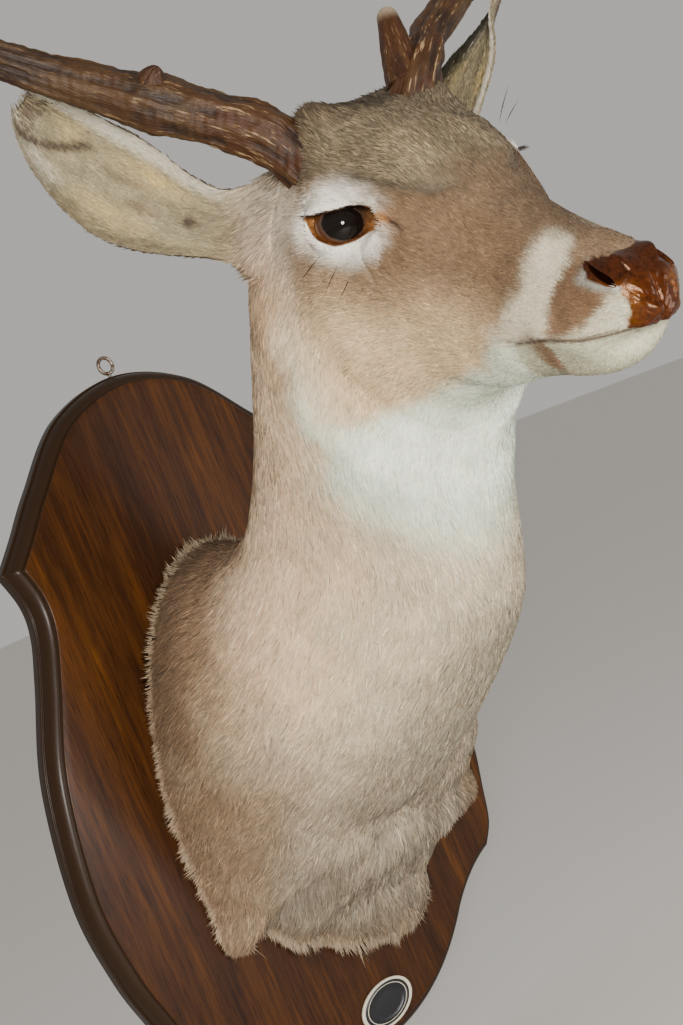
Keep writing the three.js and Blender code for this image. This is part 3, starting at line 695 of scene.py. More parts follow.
hide_points, hide_quads, hide_fans, hide_grids = build_hide()

# the hair's colours by the marking they make, and a painted shade for folds and hollows; skin and coat both
# take them from here
TAN = np.array([0.178, 0.107, 0.055])
LOW_CHEEK = np.array([0.62, 0.44, 0.25])
FOREHEAD = np.array([0.157, 0.118, 0.070])
BRIDGE = np.array([0.157, 0.10, 0.055])
CROWN = np.array([0.066, 0.046, 0.025])
TEMPLE = np.array([0.50, 0.40, 0.285])
WHITE = np.array([0.93, 0.87, 0.75])
BAND = np.array([0.62, 0.55, 0.40])
CHIN = np.array([0.47, 0.45, 0.31])
LIP = np.array([0.47, 0.43, 0.30])
LIP_LINE = np.array([0.06, 0.03, 0.018])
RIM_GREY = np.array([0.30, 0.30, 0.26])
SLIT = np.array([0.035, 0.016, 0.008])
LID_AMBER = np.array([0.30, 0.135, 0.042])
PATCH = np.array([0.137, 0.073, 0.034])
EAR_ROOT = np.array([0.76, 0.68, 0.56])
THROAT = np.array([0.62, 0.67, 0.53])
PAINTED_SHADE = np.array([0.075, 0.056, 0.036])
PANEL = np.array([0.235, 0.150, 0.083])
SPOT = np.array([0.20, 0.098, 0.042])
EDGE = np.array([0.27, 0.175, 0.105])
FRINGE = np.array([0.42, 0.33, 0.22])
# painted shadows in small hollows of the brisket: where, how far they reach and how dark the painted shade is
HOLLOW_SHADOWS = np.array([
    [[-4, -108, -121], [4, 12, 3], [0.9, 0.9, 0.9]],
    [[5, -45, -172], [9, 20, 4], [0.45, 0.45, 0.45]],
    [[-26, -100, -152], [22, 30, 5], [0.15, 0.15, 0.15]],
])
# the neck and the shoulders by the turn from the front: 0 in front, 180 on the nape
NECK_TURNS = [0, 60, 95, 115, 135, 155, 180]
NECK_COLOURS = np.array([
    [0.50, 0.43, 0.30], [0.60, 0.48, 0.32], [0.76, 0.55, 0.34], [0.82, 0.58, 0.37], [0.80, 0.58, 0.38],
    [0.50, 0.34, 0.21], [0.30, 0.185, 0.105]])
TRUNK_COLOURS = np.array([
    [0.43, 0.35, 0.245], [0.44, 0.35, 0.24], [0.41, 0.30, 0.19], [0.30, 0.195, 0.112],
    [0.265, 0.165, 0.093], [0.235, 0.147, 0.083], [0.19, 0.118, 0.066]])


def hair_colour(points, place, turn):
    """The coat's colour at points: tan, then each marking laid over it by its share, and painted shade where
    shadow falls.
    """
    own = to_head(points)
    wander = patchy(points, 26, 1) * 2.2 + patchy(points, 9, 2) * 1.2
    x, y, z = own[..., 0] + wander, np.abs(own[..., 1]), own[..., 2] + 0.6 * patchy(points, 13, 3)
    colour = np.broadcast_to(TAN, points.shape).copy()

    def mix(other, share):
        colour[:] = colour + (other - colour) * np.clip(share, 0, 1)[..., None]

    mix(LOW_CHEEK, smooth(-8, -62, z - 0.25 * np.minimum(x, 0)))
    top = smooth(-4, 4, z - np.interp(x, [-80, -40, 0, 35, 60, 100, 150], [14, 22, 26, 22, 21, 13, 9]))
    mix(FOREHEAD, top * (1 - smooth(40, 90, x)))
    mix(FOREHEAD * 1.75, 0.7 * top * np.exp(-(((x - 34) / 20) ** 2 + ((y - 20) / 9) ** 2)))
    mix(BRIDGE, top * smooth(40, 90, x))
    mix(TEMPLE, smooth(-24, -44, x) * smooth(-14, 2, z) * (1 - smooth(10, 20, z)))
    mix(CROWN, smooth(-22, -52, x) * smooth(14, 26, z))
    mix(EAR_ROOT, 0.9 * np.exp(-(((x + 70) / 30) ** 2 + ((y - 62) / 26) ** 2 + ((z + 16) / 24) ** 2)))
    # the pale ring round the eye, the dark stroke over it and the bare slit of the tear pit
    ring = np.hypot((x - 1) / 36, (z - 2.5) / 24)
    pale_ring = 0.95 * (1 - smooth(0.58, 1.16, ring)) * smooth(24, 32, y)
    mix(WHITE * 0.94, pale_ring * (1 - 0.4 * smooth(22, 38, x)))
    stroke = z - brow_line(x)
    over_eye = smooth(-12, 8, x) * (1 - smooth(56, 74, x)) * smooth(6, 16, y)
    mix(FOREHEAD * 0.42, 0.9 * bump(stroke, 0, 2.0) * over_eye)
    bare_x, bare_z = own[..., 0], own[..., 2]
    slit = tear_slit(bare_x, bare_z) * smooth(26, 34, y)
    beside = np.exp(-(((bare_x - 31) / 6.5) ** 2 + ((bare_z - 9.5) / 4.0) ** 2)) * smooth(26, 34, y)
    mix(LID_AMBER, 1.2 * beside)
    mix(SLIT, 1.1 * slit * smooth(31, 36, bare_x))
    # the pale band behind the nose, the brown patch under the nostril and the pale lip before it
    rear = np.interp(z, [-47, -28, -13, 12], [100, 115, 127, 128])
    front = np.interp(z, [-30, -10, 1, 9, 14], [150, 151, 158, 158, 150])
    band = smooth(rear - 7, rear + 9, x) * smooth(front + 4, front - 5, x)
    mix(BAND, band * smooth(1, 10, y) * (1 - smooth(9, 15, z)))
    low = np.interp(x, [90, 112, 145, 175, 200], [-44, -34, -29, -24, -10])
    nose = smooth(148, 158, x)
    mix(BRIDGE * 1.5, nose * smooth(4, 9, z) * 0.9)
    lip_from = np.interp(z, [-27, -25, -13, -7, -2, 1], [168, 171, 179, 189, 190, 192])
    patch = smooth(151, 158, x) * smooth(lip_from + 4, lip_from - 4, x)
    patch = patch * (1 - smooth(2, 6, z)) * smooth(8, 16, y)
    mix(PATCH, patch * (0.8 + 0.2 * patchy(points, 6, 8)))
    mix(LIP, smooth(lip_from - 4, lip_from + 4, x) * (1 - smooth(-2, 3, z)) * smooth(160, 168, x))
    under_nostril = smooth(-3.5, -0.5, bare_z) * smooth(164, 170, bare_x) * (1 - smooth(7, 9, bare_z))
    mix(RIM_GREY, under_nostril * smooth(6, 10, y) * 0.7)
    mix(BAND, bump(z - low, -2, 3.0) * smooth(118, 150, x) * (1 - smooth(-30, -24, z)) * 0.5)
    # lips, chin, jaw and throat
    above = mouth_height(own)
    mix(CHIN, smooth(1.5, -1.5, above) * smooth(88, 112, x))
    jaw = z - np.interp(x, [-60, 0, 40, 80, 112, 150], [-128, -112, -91, -70, -44, -34])
    mix(THROAT * 1.12, smooth(7, -7, jaw) * (1 - smooth(108, 118, x)))
    spot = np.hypot((x - 141 + 0.25 * (z + 42)) / 11, (z + 44) / 13)
    mix(SPOT, 0.9 * (1 - smooth(0.5, 1.3, spot)) * smooth(7, 13, y))
    mix(LIP_LINE, smooth(106, 116, x) * bump(above, -0.1, 1.1))
    # the neck and the trunk
    round_front = np.abs(np.degrees(turn) - 180) + 7 * patchy(points, 60, 4) + 3 * patchy(points, 18, 5)
    neck = np.stack([np.interp(round_front, NECK_TURNS, c) for c in NECK_COLOURS.T], -1)
    trunk = np.stack([np.interp(round_front, NECK_TURNS, c) for c in TRUNK_COLOURS.T], -1)
    low_down = smooth(18.3, 20.5, place)[..., None]
    body = neck * (1 - low_down) + trunk * low_down
    body = body * (1 - 0.34 * smooth(20.3, 21.6, place))[..., None]
    bib = (1 - smooth(13.8, 15.8, place)) * (1 - smooth(62, 100, round_front))
    body = body + (THROAT - body) * bib[..., None]
    shift = 0.02 * np.minimum(round_front - 90, 0) - 0.012 * np.maximum(round_front - 90, 0)
    colour[:] = colour + (body - colour) * smooth(11.2, 13.2, place + shift)[..., None]
    # painted shadow of the ear: a darker tan on the upper neck below and behind it
    ear_shadow = bump(place, 12.9, 0.8) * smooth(62, 84, round_front) * (1 - smooth(118, 140, round_front))
    mix(TAN * 1.7, 0.6 * ear_shadow)
    panel = smooth(-76, -104, -np.abs(points[..., 0])) * smooth(30, -30, points[..., 2])
    mix(PANEL, 0.75 * panel * smooth(19, 21, place))
    mix(EDGE, smooth(22.2, LAST, place) * 0.8)
    out, side, high = -points[..., 1], points[..., 0], points[..., 2]
    # painted shade, not hide colour: a band above the brisket, the creases by the foreleg and by the neck,
    # and the small hollows darken towards a shade colour where shadow falls
    fold = 0.30 * bump(high - 0.62 * (out - 184), -45, 17) * smooth(-88, -55, side) * (
        1 - smooth(25, 50, side)) * smooth(130, 155, out)
    fold = np.maximum(fold, 0.65 * leg_crease(points, 5.5))
    fold = np.maximum(fold, 0.5 * neck_crease(points, 5))
    for hollow, reach, share in HOLLOW_SHADOWS:
        fold = np.maximum(fold, share[0] * np.exp(-(((points - hollow) / reach) ** 2).sum(-1)))
    mix(PAINTED_SHADE, fold)
    shade = 1 + 0.07 * patchy(points, 34, 6) + 0.05 * patchy(points, 11, 7)
    return np.clip(colour * shade[..., None], 0.01, 0.9)


def patch_turns(grid):
    """Places and turns on a patch's rings: the edge's, drawn in towards the block's middle ring by ring."""
    share = (np.arange(len(grid)) / len(grid))[:, None]
    place = body_place.reshape(-1)[grid[0]]
    turn = body_turn.reshape(-1)[grid[0]]
    return (place + (place.mean() - place) * share, turn + (turn.mean() - turn) * share)


# ears: cream inside with yellow blotches, grey-brown outside with a pale rim, darkest near the tip
EAR_IN = np.array([0.300, 0.250, 0.145])
EAR_YELLOW = np.array([0.60, 0.44, 0.18])
EAR_PALE = np.array([0.66, 0.60, 0.47])
EAR_BROWN = np.array([0.17, 0.10, 0.06])
EAR_OUT = np.array([0.155, 0.115, 0.078])
EAR_DARK = np.array([0.10, 0.065, 0.04])


def ear_colour(points, t, q, c, base):
    """An ear's colour by t along it, q across and c, which is above 0 inside, out of the head's base."""
    inner = smooth(-0.05, 0.25, c) * np.ones_like(t)
    blotch = smooth(-0.3, 0.7, patchy(points, 24, 11) + 0.5 * patchy(points, 9, 12))
    streak = bump(q, 0.42, 0.19) * bump(t, 0.52, 0.13)
    streak = np.maximum(streak, 0.7 * bump(q, -0.6, 0.2) * bump(t, 0.57, 0.12))
    streak = np.maximum(streak, 0.8 * bump(q, 0.35, 0.3) * bump(t, 0.83, 0.05))
    inside = EAR_IN * (1 + 0.14 * patchy(points, 7, 13) + 0.10 * patchy(points, 26, 16))[..., None]

    def lay(colour, over, share):
        return colour + (over - colour) * np.clip(share, 0, 1)[..., None]

    inside = lay(inside, EAR_YELLOW, (0.5 + 0.6 * blotch) * streak)
    brown = 0.5 * bump(q, -0.2, 0.1) * bump(t, 0.5, 0.08) + 0.25 * bump(q, 0.1, 0.1) * bump(t, 0.6, 0.1)
    inside = lay(inside, EAR_BROWN, brown)
    inside = lay(inside, EAR_PALE, smooth(0.58, 0.86, q) * smooth(0.12, 0.3, t))
    inside = lay(inside, EAR_PALE, 0.6 * smooth(-0.45, -0.8, q) * smooth(0.72, 0.84, t))
    inside = lay(inside, EAR_DARK * 0.6, 1.5 * bump(q, -0.15, 0.16) * bump(t, 0.34, 0.025))
    inside = lay(inside, EAR_DARK, 0.35 * bump(q, -0.1, 0.3) * bump(t, 0.27, 0.05))
    # painted shade: a dark line where the ear's skin folds near its tip
    crease = bump(t, 0.81 - 0.155 * q, 0.018) * smooth(-0.98, -0.85, q) * (1 - smooth(0.2, 0.45, q))
    inside = lay(inside, EAR_DARK * 0.7, 1.5 * crease)
    outside = EAR_OUT * (1 + 0.16 * patchy(points, 8, 14))[..., None]
    outside = lay(outside, EAR_IN * 0.8, 0.7 * smooth(0.55, 0.9, np.abs(q)))
    colour = outside + (inside - outside) * inner[..., None]
    speckle = smooth(-0.6, 0.6, patchy(points, 4, 15))
    rim = smooth(0.84, 0.98, np.abs(q)) * smooth(0.2, 0.4, t)
    rim = rim * np.where(q < 0, 0.75, 0.2 + 0.6 * smooth(0.82, 0.92, t))
    speckled = lay(EAR_OUT * np.ones_like(colour), EAR_IN * np.ones_like(colour), 0.3 + 0.6 * speckle)
    colour = lay(colour, speckled, rim)
    tip = smooth(0.93, 1.0, t) * (1 - inner * 0.8)
    colour = colour + (EAR_DARK * 1.4 - colour) * tip[..., None]
    return base + (colour - base) * smooth(0.1, 0.3, t + 0.05 * inner)[..., None]


NOSE_BROWN = np.array([0.040, 0.0092, 0.0018])
NOSE_AMBER = np.array([0.105, 0.032, 0.0015])
NOSE_DARK = np.array([0.026, 0.007, 0.003])
NOSTRIL_PIT = np.array([0.016, 0.005, 0.003])
sheets = {"body": {"points": body_points, "place": body_place, "turn": body_turn,
                   "colour": hair_colour(body_points, body_place, body_turn)}}
LID_DARK = np.array([0.030, 0.014, 0.008])
LID_BROWN = np.array([0.07, 0.024, 0.008])
for name, (bounds, edge, rings) in patches.items():
    place, turn = patch_turns(hide_grids[name])
    shape = rings.shape[:2]
    base = hair_colour(rings, np.broadcast_to(place[:1], shape), np.broadcast_to(turn[:1], shape))
    sheet = {"points": rings, "place": place, "turn": turn, "colour": base}
    if name.startswith("ear"):
        t, q, c = ear_rings((bounds, edge), EARS[name[4:]])[1:]
        t = np.concatenate([[0], t])
        sheet |= {"t": t[:, None] * np.ones((1, len(q))), "q": q[None] * np.ones((len(t), 1)),
                  "c": c[None] * np.ones((len(t), 1))}
        sheet["colour"] = ear_colour(rings, sheet["t"], sheet["q"], sheet["c"], base)
    elif name.startswith("eye"):
        n = len(LID_STEPS)
        own = to_eye(rings, 1 if name.endswith("left") else -1)
        upper = smooth(-1, 3, own[..., 1] - 2)[..., None]
        front_corner = smooth(14, 25, own[..., 0])[..., None]
        rear_corner = smooth(-10, -16, own[..., 0])[..., None]
        margin = LID_DARK * upper + LID_BROWN * (1 - upper)
        margin = margin + (LID_AMBER - margin) * np.maximum(front_corner, 0.6 * rear_corner * (1 - upper))
        inside = margin * (1 - 0.5 * upper)
        sheet["colour"][n - 1:n + 1] = margin[n - 1:n + 1]
        sheet["colour"][n + 1:] = inside[n + 1:]
        soft = 0.75 * front_corner[n - 4:n - 1] * smooth(0.2, 1.0, np.linspace(0.3, 1, 3))[:, None, None]
        sheet["colour"][n - 4:n - 1] += (LID_AMBER - sheet["colour"][n - 4:n - 1]) * soft
    else:
        sheet["colour"][7:] = NOSE_DARK
    sheets[name] = sheet


def bareness(points):
    """How bare the skin is: 1 on the nose pad and round the nostrils, 0 where hair grows."""
    own = to_head(points)
    x, z = own[..., 0] + 0.5 * patchy(points, 6, 21), own[..., 2]
    start = np.interp(z, [-30, -22, -17, -10, -5, 0, 2.5, 4, 6, 9, 10.5, 12],
                      [186, 190, 193, 194, 192, 189, 177, 169, 165, 170, 175, 179])
    start = start - 4.5 * smooth(0, 9, own[..., 1])
    return smooth(start - 1.0, start + 1.0, x) * smooth(-1.5, 0.5, mouth_height(own))


def nose_colour(points):
    """Bare skin: brown, dark over the nostril and at the top, amber low on the sides, in pebbles."""
    own = to_head(points)
    x, y, z = own[..., 0], np.abs(own[..., 1]), own[..., 2]
    amber = smooth(4, -3, z) * (1 - smooth(-15, -20, z)) * smooth(5, 11, y) * (1 - 0.8 * smooth(193, 198, x))
    dark = np.maximum(smooth(-1, 6, z), 0.6 * smooth(-16, -21, z))
    speck = 0.5 + 0.5 * patchy(points, 3.2, 22)
    colour = NOSE_BROWN + (NOSE_AMBER - NOSE_BROWN) * (amber * (0.35 + 0.65 * speck))[..., None]
    return colour + (NOSE_DARK - colour) * (dark * 0.75)[..., None]


for sheet in sheets.values():
    sheet["bare"] = bareness(sheet["points"])
for name in sheets:
    if name.startswith("nostril"):
        sheets[name]["bare"][4:] = 1.0
    if name.startswith("eye"):
        sheets[name]["bare"][len(LID_STEPS) - 1:] = 0.6
for name, sheet in sheets.items():
    if name.startswith("nostril") or name == "body":
        bare = sheet["bare"][..., None]
        sheet["colour"] = sheet["colour"] * (1 - bare) + nose_colour(sheet["points"]) * bare
for side in ("right", "left"):
    sheets["nostril_" + side]["colour"][8:] = NOSTRIL_PIT


def gather(key):
    """One value for each of the hide's points, in the order they were built, a pole after each patch."""
    parts = [sheets["body"][key].reshape(-1, *sheets["body"][key].shape[2:])]
    for name in patches:
        value = sheets[name][key][1:]
        parts += [value.reshape(-1, *value.shape[2:]), value[-1].mean(0)[None]]
    parts += [sheets["body"][key][0].mean(0)[None], sheets["body"][key][-1].mean(0)[None]]
    return np.concatenate(parts)


def colour_points(piece, colours, alpha=1.0):
    """Stores linear colours, and a share as their alpha, on a piece's points as the attribute "tone"."""
    layer = piece.data.attributes.new("tone", "FLOAT_COLOR", "POINT")
    alpha = np.broadcast_to(alpha, len(colours))
    layer.data.foreach_set("color", np.column_stack([colours, alpha]).astype(np.float32).ravel())


def link(material, source, sink):
    material.node_tree.links.new(source, sink)


def add_node(material, kind, **values):
    """A node with its named inputs set; a name that is no input is set on the node itself."""
    node = material.node_tree.nodes.new("ShaderNode" + kind)
    for key, value in values.items():
        if key in node.inputs:
            node.inputs[key].default_value = value
        else:
            setattr(node, key, value)
    return node


def feed(material, socket, name="Base Color"):
    """Feeds the material's shader from a socket."""
    link(material, socket, material.node_tree.nodes["Principled BSDF"].inputs[name])


def noise_over(material, place, scale, detail, roughness=0.5, distortion=0.0):
    noise = add_node(
        material, "TexNoise", Scale=scale, Detail=detail, Roughness=roughness, Distortion=distortion)
    link(material, place, noise.inputs["Vector"])
    return noise.outputs["Fac"]


def remapped(material, value, low, high, start=0.0, end=1.0):
    """A value's stretch from low to high, turned into one from start to end and held within it."""
    node = add_node(
        material, "MapRange", **{"From Min": low, "From Max": high, "To Min": start, "To Max": end})
    link(material, value, node.inputs["Value"])
    return node.outputs["Result"]


def times(material, colour, factor):
    node = add_node(material, "VectorMath", operation="SCALE")
    link(material, colour, node.inputs[0])
    link(material, factor, node.inputs["Scale"])
    return node.outputs["Vector"]


def mixed_to(material, share, first, second):
    """From the first colour, a socket, to the second, a plain one, by a share."""
    node = add_node(material, "Mix", data_type="RGBA")
    node.inputs["B"].default_value = (*second, 1)
    link(material, share, node.inputs["Factor"])
    link(material, first, node.inputs["A"])
    return node.outputs["Result"]


def ramp_over(material, value, *stops):
    """Colours off a ramp whose stops are positions with their colours, in order."""
    node = add_node(material, "ValToRGB")
    ends = node.color_ramp.elements
    for k in (0, -1):
        ends[k].position = stops[k][0]
        ends[k].color = (*stops[k][1], 1)
    for position, colour in stops[1:-1]:
        ends.new(position).color = (*colour, 1)
    link(material, value, node.inputs["Fac"])
    return node.outputs["Color"]


def give_relief(material, height, depth, strength=1.0):
    node = add_node(material, "Bump", Strength=strength, Distance=depth)
    link(material, height, node.inputs["Height"])
    feed(material, node.outputs["Normal"], "Normal")


def toned_material(name, roughness, specks, speck_size, speck_depth, bump_size, bump_height):
    """The points' tone times fine specks of noise, with a bump of finer noise."""
    material = plain_material(name, (0.5, 0.4, 0.3), roughness)
    tone = add_node(material, "Attribute", attribute_name="tone").outputs["Color"]
    place = add_node(material, "TexCoord").outputs["Object"]
    speckle = noise_over(material, place, 1 / speck_size, 3.0, 0.6)
    share = remapped(material, speckle, 0.3, 0.7, 1 - specks, 1 + specks * speck_depth)
    feed(material, times(material, tone, share))
    if bump_height:
        give_relief(material, noise_over(material, place, 1 / bump_size, 4.0, 0.7), bump_height)
    return material


hide_bare = gather("bare")
hide_tone = gather("colour")
on_pad = hide_bare[hide_quads].mean(1) > 0.5


def part_of_hide(name, quads, fans):
    """The hide's faces with these corners as a piece of its own, and the tones of its points."""
    faces = [f for f in (quads, fans) if len(f)]
    kept, back = np.unique(np.concatenate([f.ravel() for f in faces]), return_inverse=True)
    ends = np.cumsum([f.size for f in faces])[:-1]
    faces = [n.reshape(f.shape) for n, f in zip(np.split(back, ends), faces)]
    piece = new_piece(name, hide_points[kept], *faces)
    colour_points(piece, hide_tone[kept])
    return piece


fans_on_pad = hide_bare[hide_fans].mean(1) > 0.5
skin = part_of_hide("skin", hide_quads[~on_pad], hide_fans[~fans_on_pad])
hide_material = toned_material("hair_and_hide", 0.75, 0.28, 0.0016, 1.0, 0.0011, 0.0008)
skin.data.materials.append(hide_material)
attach(skin, "root")
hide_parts("head", "lower_jaw", "neck", "shoulders", "brisket", "ear_right", "ear_left")
# the nose pad: bare skin that meets the hair along a ragged edge, lacquered so that it looks wet
pad = part_of_hide("nose_pad_skin", hide_quads[on_pad], hide_fans[fans_on_pad])
pad_material = toned_material("wet_nose", 0.2, 0.5, 0.0022, 1.0, 0.0016, 0.00015)
pad_material.node_tree.nodes["Principled BSDF"].inputs["Specular IOR Level"].default_value = 0.26
pad_material.node_tree.nodes["Principled BSDF"].inputs["Specular Tint"].default_value = (1, 0.62, 0.4, 1)
pad.data.materials.append(pad_material)
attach(pad, "root")
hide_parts("nose_pad")

# ------------------------------------------------------------------------------------------------
# The coat: the buck's own short hair, faded by light. It lies back from the nose and down the neck to the
# board, longest and loosest on the brisket, a grizzled cap between the antlers, and thin on the ears.

# hair length, how far it stands off the skin and its lock's width, by place along the body
HAIR_PLACES = [-1, 2, 5, 8, 11, 13, 16, 19, 22, LAST]
HAIR_LENGTHS = [2.0, 3.0, 4.2, 5.5, 8.0, 11, 13, 14, 14, 13]
HAIR_RISES = [0.12, 0.2, 0.26, 0.36, 0.55, 0.72, 0.88, 1.05, 1.3, 1.6]
HAIR_WIDTHS = [0.24, 0.27, 0.30, 0.34, 0.40, 0.45, 0.48, 0.50, 0.50, 0.48]
PATCH_WIDTH = 0.003
# how much of the length that would run into the board goes outwards instead
SPLAY = 0.36
# the hide's last rows, at the board, and how much denser their hair is
EDGE_ROWS, EDGE_DENSITY = 3, 2.2
LASHES = 56
MOST_TUFTS = 48000


def soft_noise(draw, count, spread):
    return draw.normal(size=count).clip(-2.5, 2.5) * spread


def body_hair(sheet):
    """The hair's length, rise, width and density on a body sheet, by place and by the head's frame."""
    place, turn = sheet["place"], sheet["turn"]
    own = to_head(sheet["points"])
    x, y, z = own[..., 0], np.abs(own[..., 1]), own[..., 2]
    length = np.interp(place, HAIR_PLACES, HAIR_LENGTHS)
    rise = np.interp(place, HAIR_PLACES, HAIR_RISES)
    width = np.interp(place, HAIR_PLACES, HAIR_WIDTHS)
    crown = smooth(-30, -56, x) * smooth(14, 32, z) * (1 - smooth(13.2, 14, place))
    cap = smooth(58, 30, x) * smooth(-1, 6, z - brow_line(x)) * (1 - smooth(13.2, 14, place))
    front = np.cos(np.minimum(np.abs(turn - np.pi) * 1.3, np.pi / 2))
    brisket = smooth(20, 21.5, place) * front
    length = length + 2.0 * cap + 4 * crown + 4 * brisket
    rise = rise + 0.4 * cap + 1.4 * crown + 0.9 * brisket
    width = width + 0.1 * brisket
    trunk = smooth(12.0, 14.0, place)
    density = 1.6 * (1 - trunk) + 0.72 * trunk
    at_board = smooth(LAST - 0.55, LAST, place)
    rise = rise + 0.9 * at_board * (1 + 0.7 * patchy(sheet["points"], 13, 55))
    width = width * (1 - 0.3 * at_board)
    length = length * (1 - 0.1 * at_board * (1 + 2 * patchy(sheet["points"], 17, 56)))
    keep = 1 - sheet["bare"]
    if "t" not in sheet:
        eye = np.hypot((x - 8) / 34, z / 17) + (y < 26) * 5
        length = length * (0.72 + 0.28 * smooth(0.7, 1.3, eye))
        rise = rise * (0.6 + 0.4 * smooth(0.7, 1.3, eye))
    lip = np.where(np.abs(mouth_height(own)) < 1.3, smooth(104, 112, x), 0)
    return {"length": length, "rise": rise, "width": width,
            "density": density * (keep > 0.6) * (1 - lip), "cap": cap}


def ear_hair(sheet):
    """The same on an ear: fine and thin inside, short and close outside, long at the inner edges."""
    t, q, c = sheet["t"], sheet["q"], sheet["c"]
    inner = smooth(0.0, 0.3, c)
    edge = smooth(0.72, 0.95, np.abs(q)) * smooth(0.1, 0.3, t)
    near = 1 - smooth(0.05, 0.3, t)
    length = 5.0 + 1.0 * inner * (1 - edge) + 2.5 * edge * inner + 3.5 * near
    rise = 0.7 + 0.4 * edge + 0.3 * near * inner + 0.1 * inner
    width = 0.34 + 0.08 * (1 - inner) - 0.08 * edge + 0.06 * near
    density = 0.68 * (1 - inner) + 0.42 * inner + 0.9 * edge + 0.4 * near
    return {"length": length, "rise": rise, "width": width,
            "density": density * (sheet["row"] > 0), "cap": 0 * t}


def coat_way(sheet, name):
    """The way the hair lies on a sheet: down the body, or, on a lid, as on the skin round it."""
    down, _, normal = slopes(sheet["points"])
    if name.startswith(("eye", "nostril")):
        edge_way = sheets["body"]["way"].reshape(-1, 3)[hide_grids[name][0]]
        share = np.linspace(0, 3, len(normal)).clip(0, 1)[:, None, None]
        back = edge_way * (1 - share) + edge_way.mean(0) * share
        down = unit(back - normal * (normal * back).sum(-1)[..., None])
    sheet["soften"] = np.zeros_like(normal)
    if name.startswith("ear"):
        edge_normal = sheets["body"]["normal"].reshape(-1, 3)[hide_grids[name][0]]
        sheet["soften"] = (edge_normal - normal) * (1 - smooth(0, 0.2, sheet["t"]))[..., None]
        outward = unit(sheet["points"] - sheet["points"].mean(1, keepdims=True))
        rim = smooth(0.45, 0.9, np.abs(sheet["q"])) * smooth(0.1, 0.25, sheet["t"])
        sheet["soften"] = sheet["soften"] + outward * 1.3 * rim[..., None]
        back = sheets["body"]["way"].reshape(-1, 3)[hide_grids[name][0]].mean(0)
        base = back - normal * (normal @ back)[..., None]
        share = smooth(0.0, 0.25, sheet["t"])[..., None]
        down = unit(base * (1 - share) + down * share)
    return down, normal


